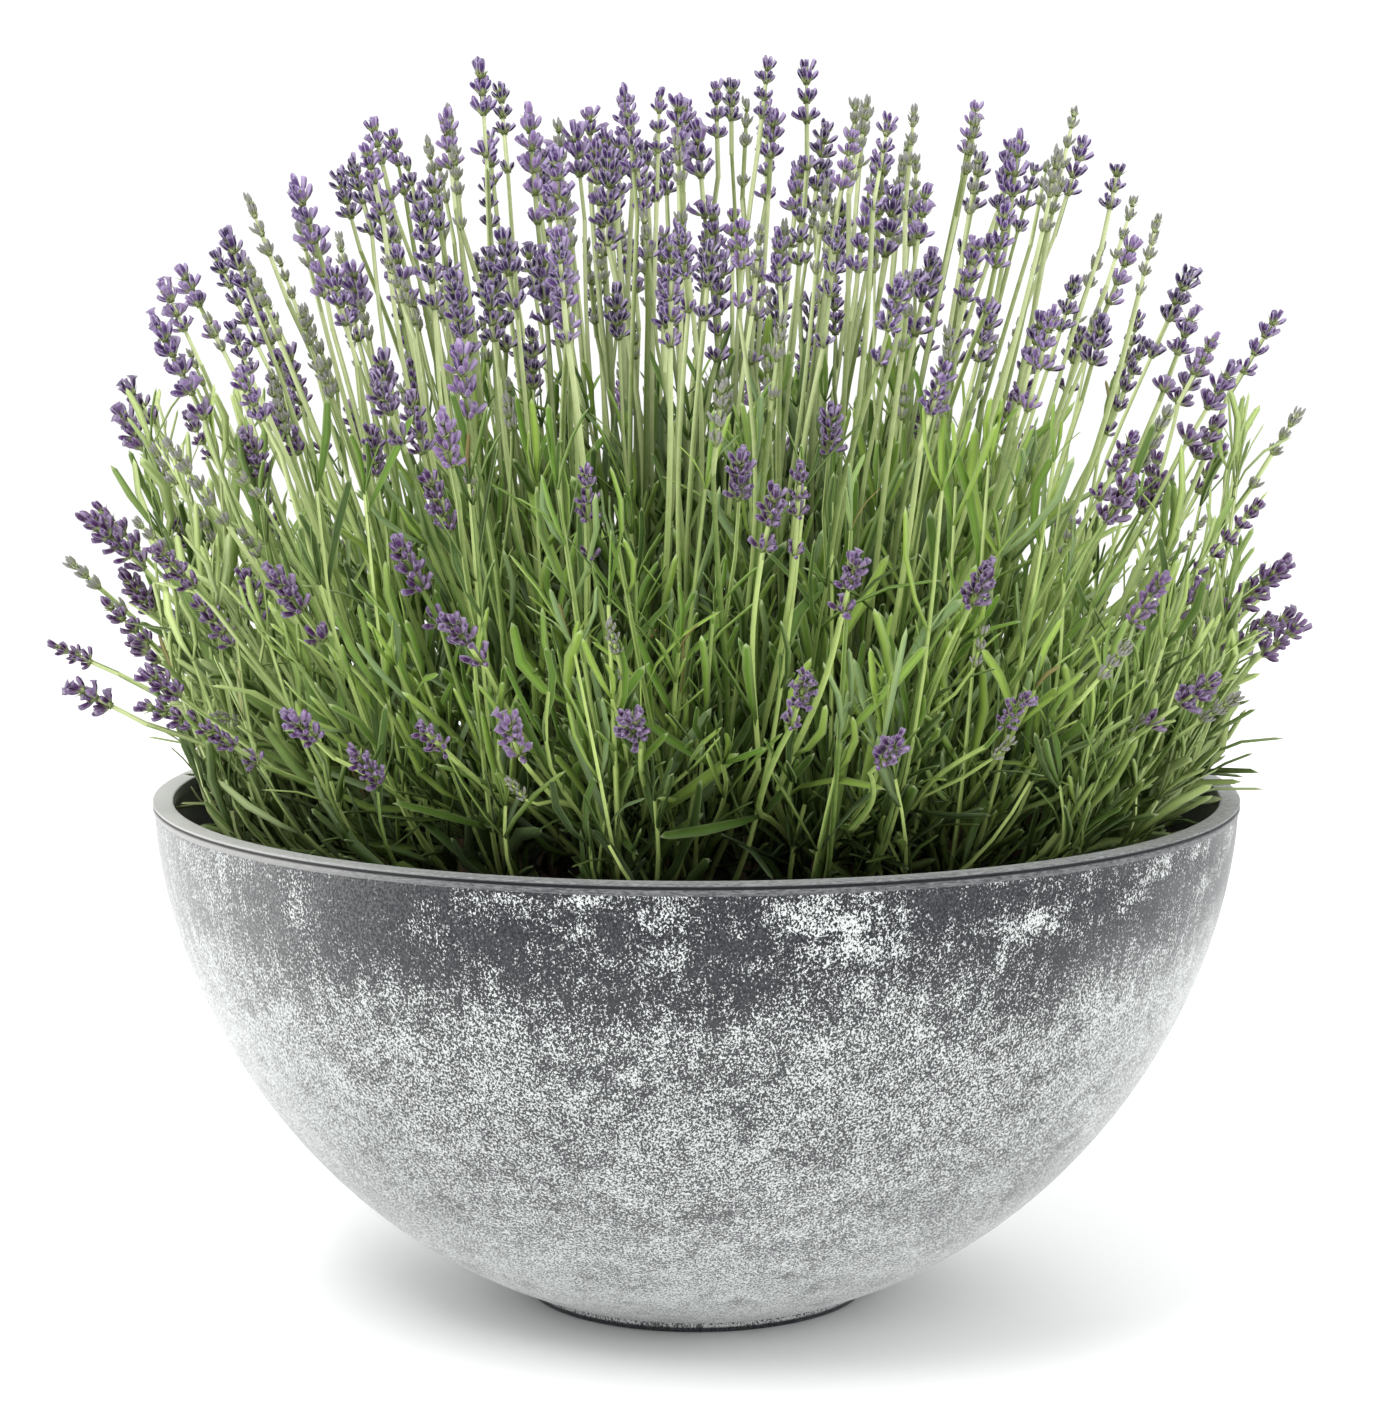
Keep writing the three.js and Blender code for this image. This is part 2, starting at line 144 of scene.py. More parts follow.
def noise(tree, place, scale, detail=2, roughness=0.5):
    """Cloudy noise between 0 and 1, with scale in clouds a metre."""
    sockets = {"Vector": place, "Scale": scale, "Detail": detail, "Roughness": roughness}
    return add_node(tree, "ShaderNodeTexNoise", sockets).outputs["Fac"]


def ramp(tree, value, low, high, to_low=0.0, to_high=1.0):
    """Stretches a value softly from the range low to high onto to_low to to_high."""
    sockets = {"Value": value, "From Min": low, "From Max": high, "To Min": to_low, "To Max": to_high}
    return add_node(tree, "ShaderNodeMapRange", sockets, interpolation_type="SMOOTHSTEP").outputs[0]


def sums(tree, operation, first, second):
    """Arithmetic on two values."""
    return add_node(tree, "ShaderNodeMath", {0: first, 1: second}, operation=operation).outputs[0]


def times(tree, first, second, added=0.0):
    """The product of two values, with a third value added."""
    sockets = {0: first, 1: second, 2: added}
    return add_node(tree, "ShaderNodeMath", sockets, operation="MULTIPLY_ADD").outputs[0]


def total(tree, start, terms):
    """A start value plus every value of the terms times its weight."""
    for value, weight in terms:
        start = times(tree, value, weight, start)
    return start


def blend(tree, share, first, second):
    """A colour between two, each given as numbers or as an output."""
    colours = [c if isinstance(c, bpy.types.NodeSocket) else (*c, 1) for c in (first, second)]
    sockets = {0: share, 6: colours[0], 7: colours[1]}
    return add_node(tree, "ShaderNodeMix", sockets, data_type="RGBA").outputs[2]


def layered(tree, ground, layers):
    """A ground colour with further colours laid over it, each by its own share."""
    for share, colour in layers:
        ground = blend(tree, share, ground, colour)
    return ground


def attribute(tree, name):
    """A number stored on the mesh."""
    return add_node(tree, "ShaderNodeAttribute", attribute_name=name).outputs["Fac"]


def object_place(tree):
    """Where a point is on the object, in metres."""
    return add_node(tree, "ShaderNodeTexCoord").outputs["Object"]


def axes(tree):
    """The three numbers of a point's place: to the right, to the back and up."""
    return add_node(tree, "ShaderNodeSeparateXYZ", {0: object_place(tree)}).outputs


def stretched(tree, scale, moved=(0, 0, 0)):
    """Places scaled and moved, so that a pattern on them is squeezed along some axes."""
    sockets = {"Vector": object_place(tree), "Location": moved, "Scale": scale}
    return add_node(tree, "ShaderNodeMapping", sockets).outputs[0]


def far_from(tree, centre, scale):
    """The distance from a centre, with each axis scaled."""
    seat = stretched(tree, scale, [-c * s for c, s in zip(centre, scale)])
    return add_node(tree, "ShaderNodeVectorMath", {0: seat}, operation="LENGTH").outputs["Value"]


def to_side(tree):
    """The distance to the left or to the right of the middle."""
    return sums(tree, "ABSOLUTE", axes(tree)["X"], 0)


def painted(tree, shader, colour):
    tree.links.new(colour, shader.inputs["Base Color"])


def bumped(tree, shader, height, distance, strength=1.0):
    """Lets a height pattern catch the light."""
    bump = add_node(tree, "ShaderNodeBump", {"Height": height, "Distance": distance, "Strength": strength})
    tree.links.new(bump.outputs["Normal"], shader.inputs["Normal"])


print("material helpers ready")

# %% [markdown]
# ## The bowl
# The real bowl is moulded in one piece from a charcoal mix, with a flat lip, a shadow line and a bead
# under it. A turned shape needs only half an outline, swept round the upright axis. The outline could
# be drawn as a curve, but it follows a formula, so its points are worked out and the rings are joined
# in mesh code. More points are set where the lip bends, so that its edges catch a fine light.

# %% Outline of the bowl
BOWL_RADIUS = 0.185
WALL = 0.005
BODY_RADIUS = 0.1845
BODY_DEPTH = 0.1825
BODY_POWER = 1.8
FOOT_RADIUS = 0.059
FOOT_HEIGHT = 0.004
FOOT_ROUNDING = 0.0008
FLOOR_HEIGHT = 0.009
LIP_WIDTH = 0.0068
LIP_HEIGHT = 0.0008
LIP_ROUNDING = 0.0006
LIP_STEP = 0.002
BEAD_HEIGHT = 0.0019
BEAD_SLOPE = 0.0007
GROOVE = 0.001
HAIRLINE = 0.0001
OUTER_RINGS = 37
INNER_RINGS = 20
SPACING_POWER = 1.5
BOWL_SIDES = 192


def outer_radius(height):
    return BODY_RADIUS * math.sqrt(1 - ((BOWL_HEIGHT - height) / BODY_DEPTH) ** BODY_POWER)


def inner_radius(height):
    depth = (BOWL_HEIGHT - height) / (BODY_DEPTH - WALL)
    return (BODY_RADIUS - WALL) * math.sqrt(max(1 - depth ** BODY_POWER, 0))


def spaced(low, high, steps):
    """Heights from low to high that lie closer together near the low end."""
    return [low + (high - low) * (i / steps) ** SPACING_POWER for i in range(steps + 1)]


def rounded(corners, radius, steps=3):
    """Rounds the corners of an outline, each by an arc of a few points."""
    points = [corners[0]]
    for before, corner, after in zip(corners, corners[1:], corners[2:]):
        before, corner, after = Vector(before), Vector(corner), Vector(after)
        reach = min(radius, (before - corner).length * 0.45, (after - corner).length * 0.45)
        start = corner + (before - corner).normalized() * reach
        end = corner + (after - corner).normalized() * reach
        for i in range(steps + 1):
            share = i / steps
            points.append(tuple(start.lerp(corner, share).lerp(corner.lerp(end, share), share)))
    points.append(corners[-1])
    return points


body_top = BOWL_HEIGHT - LIP_HEIGHT - GROOVE - BEAD_HEIGHT
groove_low = body_top + BEAD_HEIGHT
lip_low = BOWL_HEIGHT - LIP_HEIGHT
inner_top = body_top - LIP_STEP
bowl_outline = rounded([
    (0, 0),
    (FOOT_RADIUS, 0),
    (FOOT_RADIUS, FOOT_HEIGHT),
    (outer_radius(FOOT_HEIGHT) + HAIRLINE, FOOT_HEIGHT),
], FOOT_ROUNDING)
outer_heights = spaced(FOOT_HEIGHT, body_top, OUTER_RINGS)[1:-1]
bowl_outline += [(outer_radius(height), height) for height in outer_heights]
bowl_outline += rounded([
    (outer_radius(body_top), body_top),
    (BOWL_RADIUS, body_top + BEAD_SLOPE),
    (BOWL_RADIUS, groove_low),
    (BOWL_RADIUS - GROOVE, groove_low),
    (BOWL_RADIUS - GROOVE, lip_low),
    (BOWL_RADIUS, lip_low),
    (BOWL_RADIUS, BOWL_HEIGHT),
    (BOWL_RADIUS - LIP_WIDTH, BOWL_HEIGHT),
    (BOWL_RADIUS - LIP_WIDTH, body_top),
    (inner_radius(inner_top), inner_top),
], LIP_ROUNDING)
inner_heights = spaced(FLOOR_HEIGHT, inner_top, INNER_RINGS)[:-1]
bowl_outline += [(inner_radius(height), height) for height in reversed(inner_heights)]
bowl_outline.append((0, FLOOR_HEIGHT))
print("bowl outline:", len(bowl_outline), "points")

# %% Turn an outline into a closed piece
def ring_faces(rings, sides):
    """Faces between rings of points, closed by a single point at each end."""
    faces = []
    top = 1 + (rings - 1) * sides
    for i in range(sides):
        after = (i + 1) % sides
        faces.append((0, 1 + after, 1 + i))
        for low in range(1, top, sides):
            high = low + sides
            faces.append((low + i, low + after, high + after, high + i))
        faces.append((top + i, top + after, top + sides))
    return faces


def turned(name, outline, sides):
    """An outline swept round the upright axis; it starts and ends on the axis."""
    points = [(0, 0, outline[0][1])]
    for radius, height in outline[1:-1]:
        for i in range(sides):
            angle = 2 * math.pi * i / sides
            points.append((radius * math.cos(angle), radius * math.sin(angle), height))
    points.append((0, 0, outline[-1][1]))
    mesh = bpy.data.meshes.new(name)
    mesh.from_pydata(points, [], ring_faces(len(outline) - 2, sides))
    mesh.shade_smooth()
    return mesh


def placed_piece(name, mesh, replaced):
    """Puts a finished mesh in the scene, on the one body, in place of a measured node."""
    piece = bpy.data.objects.new(name, mesh)
    bpy.context.scene.collection.objects.link(piece)
    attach(piece, "root")
    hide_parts(replaced)


SHARP_ANGLE = math.radians(50)

bowl_mesh = turned("bowl_shell", bowl_outline, BOWL_SIDES)
bowl_mesh.set_sharp_from_angle(angle=SHARP_ANGLE)
lip_ring = max(k for k, (_, height) in enumerate(bowl_outline) if height > BOWL_HEIGHT - LIP_HEIGHT / 2)
inside = [0.0]
for k in range(1, len(bowl_outline) - 1):
    inside += [float(k > lip_ring)] * BOWL_SIDES
inside.append(1.0)
bowl_mesh.attributes.new("inside", "FLOAT", "POINT").data.foreach_set("value", inside)
print("bowl:", len(bowl_mesh.polygons), "faces")

# %% [markdown]
# The finish is charcoal, worn and dusted with pale specks. Near the rim the specks are thin with a
# few dense patches, and lower down they run together into a pale grey. The two sides get a painted
# sheen and a little more dust, the left side and its lip a painted light and a few more specks, and
# fine upright streaks run where the dust begins. A picture of the finish could be wrapped on, but a
# rule stays sharp at any distance: fine noise is cut at a threshold, and one number, the cover, moves
# that threshold. The cover is a sum, one term for each band or cloud.

# %% How thickly the dust covers the bowl
DUST_BAND = (0.158, 0.114)
DUST_WAVE = 0.07
UPPER_BAND = (0.145, 0.158)
PATCH_CLOUDS = (0.42, 0.66)
FEWER_LEFT = (-0.13, -0.04, 0.35, 1.0)
SHEEN_SIDES = (0.1, 0.178)
SHEEN_BAND = (0.178, 0.142)
SHEEN_SLANT = 0.12
LEFT_LIGHT_SIDE = (-0.05, -0.175, 0, 0.8)
STREAK_BAND = (0.1, 0.145)
FOOT_BAND = (0.06, 0.012)
SMUDGE_CLOUDS = (0.56, 0.7)
# Each spot: its centre, how far it reaches and what it adds to the cover.
SPOTS = (((0.036, -0.172, 0.151), 0.075, 0.17), ((-0.082, -0.155, 0.162), 0.05, -0.42))
SPOT_SCALE = (1, 1, 2.4)

bowl_finish, tree, shader = new_finish("speckled charcoal", 0.6, Sheen_Weight=0.55, Sheen_Roughness=0.32,
                                       Specular_IOR_Level=0.25)
across, _, height = axes(tree)
tall_places = stretched(tree, (1, 1, 0.75))
banded_places = stretched(tree, (1, 1, 2.2))
clouds = noise(tree, banded_places, 11, 4, 0.6)
small_clouds = noise(tree, banded_places, 34, 6, 0.74)
blotches = noise(tree, tall_places, 150, 3, 0.6)
wavy_height = sums(tree, "ADD", height, times(tree, clouds, DUST_WAVE, -DUST_WAVE / 2))
dusted = ramp(tree, wavy_height, *DUST_BAND)
patches = times(tree, ramp(tree, small_clouds, *PATCH_CLOUDS), ramp(tree, height, *UPPER_BAND))
patches = times(tree, patches, ramp(tree, across, *FEWER_LEFT))
# Painted sheen: the left and right sides are paler in a band, and they also get a little more dust.
slanted = times(tree, across, SHEEN_SLANT, wavy_height)
side_sheen_and_dust = times(tree, ramp(tree, to_side(tree), *SHEEN_SIDES), ramp(tree, slanted, *SHEEN_BAND))
smudges = ramp(tree, noise(tree, stretched(tree, (1, 1, 1.3), (0.3, 0.1, 0.2)), 52, 3, 0.6), *SMUDGE_CLOUDS)
# Painted light: the left side is paler, and it gets a few more specks.
left_light_and_dust = ramp(tree, across, *LEFT_LIGHT_SIDE)
streaks = times(tree, noise(tree, stretched(tree, (1, 1, 0.14)), 210, 3, 0.62), 1.5, -0.75)
terms = [
    (dusted, 0.66),
    (patches, 0.75),
    (side_sheen_and_dust, 0.26),
    (smudges, -0.3),
    (left_light_and_dust, 0.16),
    (streaks, ramp(tree, height, *STREAK_BAND)),
    (ramp(tree, height, *FOOT_BAND), 0.22),
    (small_clouds, 0.7),
    (blotches, 0.8),
]
for centre, reach, gain in SPOTS:
    away = far_from(tree, centre, SPOT_SCALE)
    terms.append((ramp(tree, away, 0.2 * reach, reach, 1.0, 0.0), gain))
cover = total(tree, -0.8, terms)
print("cover:", len(terms), "terms")

# %% [markdown]
# With the cover known, the specks are the finest grains that rise above the threshold. Under them lie
# the greys: charcoal near the rim, a dusty grey lower down, a painted sheen at the two sides and a
# painted light grey on the left. Mixing the greys first and the specks last keeps every speck crisp.

# %% Specks and greys
SPECK_START = 0.64
SPECK_GAIN = 0.2
SPECK_EDGE = (-0.016, 0.024)
LOW_WALL = (0.11, 0.03)
CHARCOAL = ((0.013, 0.0145, 0.019), (0.06, 0.063, 0.07))
DUST = ((0.056, 0.059, 0.062), (0.12, 0.125, 0.128))
SIDE_SHEEN_GREY = (0.27, 0.28, 0.285)
LEFT_LIGHT_GREY = ((0.14, 0.142, 0.145), (0.46, 0.46, 0.45))
SPECKS = ((0.6, 0.63, 0.62), (0.8, 0.83, 0.82))

grains = noise(tree, tall_places, 1500, 2, 0.8)
specks = ramp(tree, total(tree, -SPECK_START, [(grains, 1), (cover, SPECK_GAIN)]), *SPECK_EDGE)
charcoal = blend(tree, ramp(tree, grains, 0.4, 0.6), *CHARCOAL)
# Painted sheen at the two sides and painted light on the left lie under the specks.
body = layered(tree, charcoal, [
    (dusted, blend(tree, ramp(tree, height, *LOW_WALL), *DUST)),
    (times(tree, side_sheen_and_dust, 0.66), SIDE_SHEEN_GREY),
    (times(tree, left_light_and_dust, 0.55), blend(tree, ramp(tree, grains, 0.42, 0.6), *LEFT_LIGHT_GREY)),
    (specks, blend(tree, clouds, *SPECKS)),
])
print("specks start at", SPECK_START)

# %% [markdown]
# The lip is a rubbed grey, and painted shade darkens it towards its lower edge, so its top reads paler.
# The bead is a darker grey, and the groove between them is painted almost black, as the shade under
# the lip. On the left, painted light pales all three. Each could be a piece with a material of its
# own, but the bowl is one moulding, so they are bands of height on it, and their borders follow the
# turned outline. The inside has no specks.

# %% Lip, groove, bead and foot
BEAD_GREY = ((0.05, 0.054, 0.06), (0.2, 0.205, 0.21))
LIP_GREY = ((0.11, 0.115, 0.12), (0.3, 0.31, 0.31))
# Painted shade at the lower edge of the lip and in the groove under it.
LOWER_LIP_SHADE = (0.04, 0.042, 0.046)
GROOVE_SHADE = (0.022, 0.024, 0.028)
# Painted light on the left for the bead, the groove and the lip.
LEFT_LIGHT_BEAD = (0.5, 0.5, 0.48)
LEFT_LIGHT_GROOVE = (0.16, 0.16, 0.16)
LEFT_LIGHT_LIP = (0.62, 0.62, 0.6)
FOOT_EDGE = (0.0022, 0.0014)

rubbed = ramp(tree, noise(tree, stretched(tree, (1, 1, 6)), 420, 4, 0.7), 0.35, 0.65)
bead_grey = blend(tree, left_light_and_dust, blend(tree, rubbed, *BEAD_GREY), LEFT_LIGHT_BEAD)
# The groove is painted almost black, as the shade under the lip.
groove_shade = blend(tree, left_light_and_dust, GROOVE_SHADE, LEFT_LIGHT_GROOVE)
lip_grey = blend(tree, rubbed, *LIP_GREY)
# Painted shade darkens the lip towards its lower edge, so its top reads paler.
lip_grey = blend(tree, ramp(tree, height, lip_low, BOWL_HEIGHT, 0.45, 0), lip_grey, LOWER_LIP_SHADE)
lip_grey = blend(tree, left_light_and_dust, lip_grey, LEFT_LIGHT_LIP)
smooth = ramp(tree, attribute(tree, "inside"), 0.2, 0.8)
smooth = sums(tree, "MAXIMUM", ramp(tree, height, *FOOT_EDGE), smooth)
painted(tree, shader, layered(tree, body, [
    (ramp(tree, height, body_top - HAIRLINE, body_top + 2 * HAIRLINE), bead_grey),
    (ramp(tree, height, groove_low - HAIRLINE, groove_low + HAIRLINE), groove_shade),
    (ramp(tree, height, lip_low - 2 * HAIRLINE, lip_low), lip_grey),
    (smooth, charcoal),
]))
tree.links.new(ramp(tree, specks, 0, 1, 0.46, 0.8), shader.inputs["Roughness"])
bumped(tree, shader, sums(tree, "ADD", grains, specks), FINE_BUMP, 0.35)

bowl_mesh.materials.append(bowl_finish)
placed_piece("bowl_shell", bowl_mesh, "bowl")
print("finish:", bowl_finish.name)

# %% [markdown]
# ## The soil
# Potting soil is a loose, dark and lumpy bed that fills the bowl to a little under the rim. Only its
# top shows, so the bed is turned like the bowl and its top rings are then lifted by two sizes of
# noise. A sculpted bed would look the same from here and take far longer.

# %% Lumpy soil bed
SOIL_HEIGHT = 0.153
SOIL_GAP = 0.0005
SOIL_WALL_RINGS = 8
SOIL_RINGS = 44
SOIL_SIDES = 128
SOIL_LUMP = 0.0042
# Each size of lump: lumps a metre and its share of the height.
LUMPS = ((38, 0.55), (150, 0.45))

soil_outline = [(0, FLOOR_HEIGHT + SOIL_GAP)]
for height in spaced(FLOOR_HEIGHT + SOIL_GAP, SOIL_HEIGHT, SOIL_WALL_RINGS):
    soil_outline.append((inner_radius(height) - 2 * SOIL_GAP, height))
soil_radius = soil_outline[-1][0]
for i in range(1, SOIL_RINGS):
    soil_outline.append((soil_radius * (1 - i / SOIL_RINGS), SOIL_HEIGHT))
soil_outline.append((0, SOIL_HEIGHT))
soil_mesh = turned("soil_bed", soil_outline, SOIL_SIDES)
for vertex in soil_mesh.vertices:
    if vertex.co.z > SOIL_HEIGHT - 1e-6:
        lump = sum(hills.noise(vertex.co * scale) * share for scale, share in LUMPS)
        vertex.co.z += SOIL_LUMP * lump
print("soil bed:", len(soil_mesh.polygons), "faces")

# %% [markdown]
# Damp earth is an even near-black, and where it has dried it breaks into brown crumbs. One wide noise
# says where it is damp, and one fine noise gives the crumbs both their colour and their relief, so the
# two always agree.

# %% Dark crumbly finish
CRUMB_BROWN = ((0.006, 0.0045, 0.003), (0.05, 0.034, 0.022))
DAMP_BROWN = (0.022, 0.015, 0.01)

soil_finish, tree, shader = new_finish("potting soil", 0.95)
crumbs = noise(tree, object_place(tree), 420, 5, 0.7)
damp = ramp(tree, noise(tree, object_place(tree), 45, 3), 0.4, 0.7)
painted(tree, shader, blend(tree, damp, blend(tree, crumbs, *CRUMB_BROWN), DAMP_BROWN))
bumped(tree, shader, crumbs, 0.0016)
soil_mesh.materials.append(soil_finish)
print("finish:", soil_finish.name)

# %% [markdown]
# ## How the plant grows
# The measured model plans the planting with a rule: places on a golden spiral, a seeded draw for the
# small accidents of growth, and one flow that carries each shoot up and then outwards. The same rule
# is repeated here in metres, so that every stem and flower head comes out where the model has it.

# %% The plan's values
PLANT_RADIUS = 0.125
SPRAYS = 54
SPRAY_EDGE = 0.97
SHOOTS = 522
SHOOT_EDGE = 1.1
FLOWER_EDGE = 1.04
JITTER = 0.03
LEAF_REACH = 0.33
GOLDEN_ANGLE = math.pi * (3 - math.sqrt(5))
TURNS = 10
LEAFY_TURNS = (1, 3, 6, 8)
EVEN_LEAN = 0.367
FLARE_LEAN = 0.52
FLARE_POWER = 8
LEAN_LIMIT = 1.4
UPRIGHT_LENGTH = 0.03
SAG = 0.6
SPREAD_START = 0.34
CROWN_RADIUS = 0.22
CROWN_HEIGHT = 0.252
CROWN_POWER = 3
SHORTEST, LONGEST = 0.04, 0.33
SHORTFALL = 0.07
EDGE_FULLNESS = 0.6
FORK_HEIGHT = 0.022
HEAD_LENGTH = 0.026
HEAD_EXTRA = 0.013
NODE_LOWEST = 0.045
NODE_HIGHEST = 0.09
OUTER_NODES_LOWER = 0.7
NODE_TO_HEAD = 0.014


class Draws:
    """A repeatable row of numbers between 0 and 1."""

    def __init__(self, seed):
        self.seed = seed

    def next(self):
        self.seed = (self.seed * 1664525 + 1013904223) % 4294967296
        return self.seed / 4294967296

    def between(self, low, high):
        return low + (high - low) * self.next()

    def angle(self):
        return self.between(0, 2 * math.pi)


print("plan of", SPRAYS, "sprays and", SHOOTS, "shoots")

# %% The flow of growth
HALVINGS = 40


def mix(start, end, share):
    return start + (end - start) * share


def grown(u, v, t, lean_limit=LEAN_LIMIT):
    """Where a shoot planned at (u, v) has got to at a length t."""
    place = max(math.hypot(u, v), 1e-6)
    lean = min(lean_limit, EVEN_LEAN * place + FLARE_LEAN * place ** FLARE_POWER)
    above = max(t, 0)
    out = math.sin(lean) * above * above / (above + UPRIGHT_LENGTH)
    easing = (1 - math.cos(lean)) * UPRIGHT_LENGTH * t / (above + UPRIGHT_LENGTH)
    height = SOIL_HEIGHT + math.cos(lean) * t + easing - SAG * out * out
    radius = PLANT_RADIUS * place + out
    return Vector((radius * u / place, radius * v / place, height))


def full_length(u, v):
    """The length at which a shoot reaches the crown's outline."""
    short, long = SHORTEST, LONGEST
    for _ in range(HALVINGS):
        t = (short + long) / 2
        point = grown(u, v, t)
        wide = math.hypot(point.x, point.y) / CROWN_RADIUS
        tall = max(point.z - BOWL_HEIGHT, 0) / CROWN_HEIGHT
        if wide ** CROWN_POWER + tall ** CROWN_POWER < 1:
            short = t
        else:
            long = t
    return short


def spiral_place(i, count, edge):
    place = edge * math.sqrt((i + 0.5) / count)
    angle = i * GOLDEN_ANGLE
    return {"u": place * math.cos(angle), "v": place * math.sin(angle), "place": place}


def apart(one, other):
    return math.hypot(one["u"] - other["u"], one["v"] - other["v"])


print("length of the middle stems:", round(full_length(0, 0), 3))

# %% Walk the plan
growth = Draws(7)
sprays = []
for i in range(SPRAYS):
    spray = spiral_place(i, SPRAYS, SPRAY_EDGE)
    spray["node"] = mix(NODE_LOWEST, NODE_HIGHEST, growth.next() * (1 - OUTER_NODES_LOWER * spray["place"]))
    spray["stems"], spray["leafy"] = [], []
    sprays.append(spray)
for i in range(SHOOTS):
    shoot = spiral_place(i, SHOOTS, SHOOT_EDGE)
    shoot["u"] += JITTER * (growth.next() - 0.5)
    shoot["v"] += JITTER * (growth.next() - 0.5)
    shoot["vigour"] = growth.next()
    shoot["bloom"] = growth.next()
    shoot["twist"] = growth.angle()
    low = shoot["place"] > FLOWER_EDGE
    home = min(sprays, key=lambda spray: apart(shoot, spray))
    if low and apart(shoot, home) > LEAF_REACH:
        continue
    leafy = low or i % TURNS in LEAFY_TURNS
    home["leafy" if leafy else "stems"].append(shoot)
for kind in ("stems", "leafy"):
    print(kind, "in the plan:", sum(len(spray[kind]) for spray in sprays))

# %% [markdown]
# ## One tree that places small shapes
# Leaves, flowers, bracts and crumbs all repeat hundreds of times. Each could be copied in a loop, but
# Geometry Nodes does it in one step: the places are bare points that carry a turn, a size and a shape
# number, and the tree sets the chosen shape on each. It ends by making the copies real, because
# copies that exist only in the tree would be lost when the model is saved.

# %% Geometry Nodes: shapes set on places
def new_tree(name, inputs):
    """A node tree with named inputs and one geometry output."""
    tree = bpy.data.node_groups.new(name, "GeometryNodeTree")
    for label, kind, value in inputs:
        socket = tree.interface.new_socket(label, in_out="INPUT", socket_type=kind)
        if value is not None:
            socket.default_value = value
    tree.interface.new_socket("Geometry", in_out="OUTPUT", socket_type="NodeSocketGeometry")
    return tree, tree.nodes.new("NodeGroupInput").outputs


def stored(tree, name, kind):
    """A value stored on the points."""
    node = add_node(tree, "GeometryNodeInputNamedAttribute", {"Name": name}, data_type=kind)
    return node.outputs["Attribute"]


def finish_tree(tree, geometry, material):
    """Makes copies real, gives them their material and ends the tree."""
    real = add_node(tree, "GeometryNodeRealizeInstances", {"Geometry": geometry})
    painted = add_node(tree, "GeometryNodeSetMaterial", {"Geometry": real.outputs[0], "Material": material})
    add_node(tree, "NodeGroupOutput", {0: painted.outputs[0]})


place_tree, given = new_tree("shapes on places", [
    ("Places", "NodeSocketGeometry", None),
    ("Shapes", "NodeSocketCollection", None),
    ("Finish", "NodeSocketMaterial", None),
    ("Overall Size", "NodeSocketFloat", 1.0),
    ("Size Variation", "NodeSocketFloat", 0.06),
    ("Seed", "NodeSocketInt", 5),
])
shapes = add_node(place_tree, "GeometryNodeCollectionInfo",
                  {"Collection": given["Shapes"], "Separate Children": True, "Reset Children": True})
least = sums(place_tree, "SUBTRACT", 1.0, given["Size Variation"])
most = sums(place_tree, "ADD", 1.0, given["Size Variation"])
varied = add_node(place_tree, "FunctionNodeRandomValue", {2: least, 3: most, "Seed": given["Seed"]})
factor = sums(place_tree, "MULTIPLY", varied.outputs[1], given["Overall Size"])
size = add_node(place_tree, "ShaderNodeVectorMath",
                {0: stored(place_tree, "size", "FLOAT_VECTOR"), "Scale": factor}, operation="SCALE")
copies = add_node(place_tree, "GeometryNodeInstanceOnPoints", {
    "Points": given["Places"],
    "Instance": shapes.outputs[0],
    "Pick Instance": True,
    "Instance Index": stored(place_tree, "shape", "INT"),
    "Rotation": stored(place_tree, "turn", "FLOAT_VECTOR"),
    "Scale": size.outputs[0],
})
finish_tree(place_tree, copies.outputs[0], given["Finish"])
print("tree:", place_tree.name, len(place_tree.nodes), "nodes")

# %% [markdown]
# Stems and twigs follow paths. The second tree turns a chain of points into a curve and sweeps a
# section along it. The section has four corners for a flower stem, because lavender stems are square,
# and its width is read from the points, so a stem thins towards its head.

# %% Geometry Nodes: stems swept along paths
sweep_tree, given = new_tree("stems along paths", [
    ("Paths", "NodeSocketGeometry", None),
    ("Corners", "NodeSocketInt", 4),
    ("Overall Width", "NodeSocketFloat", 1.0),
    ("Finish", "NodeSocketMaterial", None),
])
curves = add_node(sweep_tree, "GeometryNodeMeshToCurve", {"Mesh": given["Paths"]})
tilted = add_node(sweep_tree, "GeometryNodeSetCurveTilt",
                  {"Curve": curves.outputs[0], "Tilt": stored(sweep_tree, "tilt", "FLOAT")})
section = add_node(sweep_tree, "GeometryNodeCurvePrimitiveCircle",
                   {"Resolution": given["Corners"], "Radius": 1.0})
# Each corner gets a number that the stem finish turns into a painted lit side and a painted shaded side.
corner_number = add_node(sweep_tree, "GeometryNodeInputIndex").outputs[0]
cornered = add_node(sweep_tree, "GeometryNodeStoreNamedAttribute", {
    "Geometry": section.outputs[0],
    "Name": "corner",
    "Value": sums(sweep_tree, "DIVIDE", corner_number, 3.0),
})
width = sums(sweep_tree, "MULTIPLY", stored(sweep_tree, "width", "FLOAT"), given["Overall Width"])
swept = add_node(sweep_tree, "GeometryNodeCurveToMesh", {
    "Curve": tilted.outputs[0],
    "Profile Curve": cornered.outputs[0],
    "Scale": width,
    "Fill Caps": True,
})
flat_sided = add_node(sweep_tree, "GeometryNodeSetShadeSmooth",
                      {"Geometry": swept.outputs[0], "Shade Smooth": False})
finish_tree(sweep_tree, flat_sided.outputs[0], given["Finish"])
print("tree:", sweep_tree.name, len(sweep_tree.nodes), "nodes")

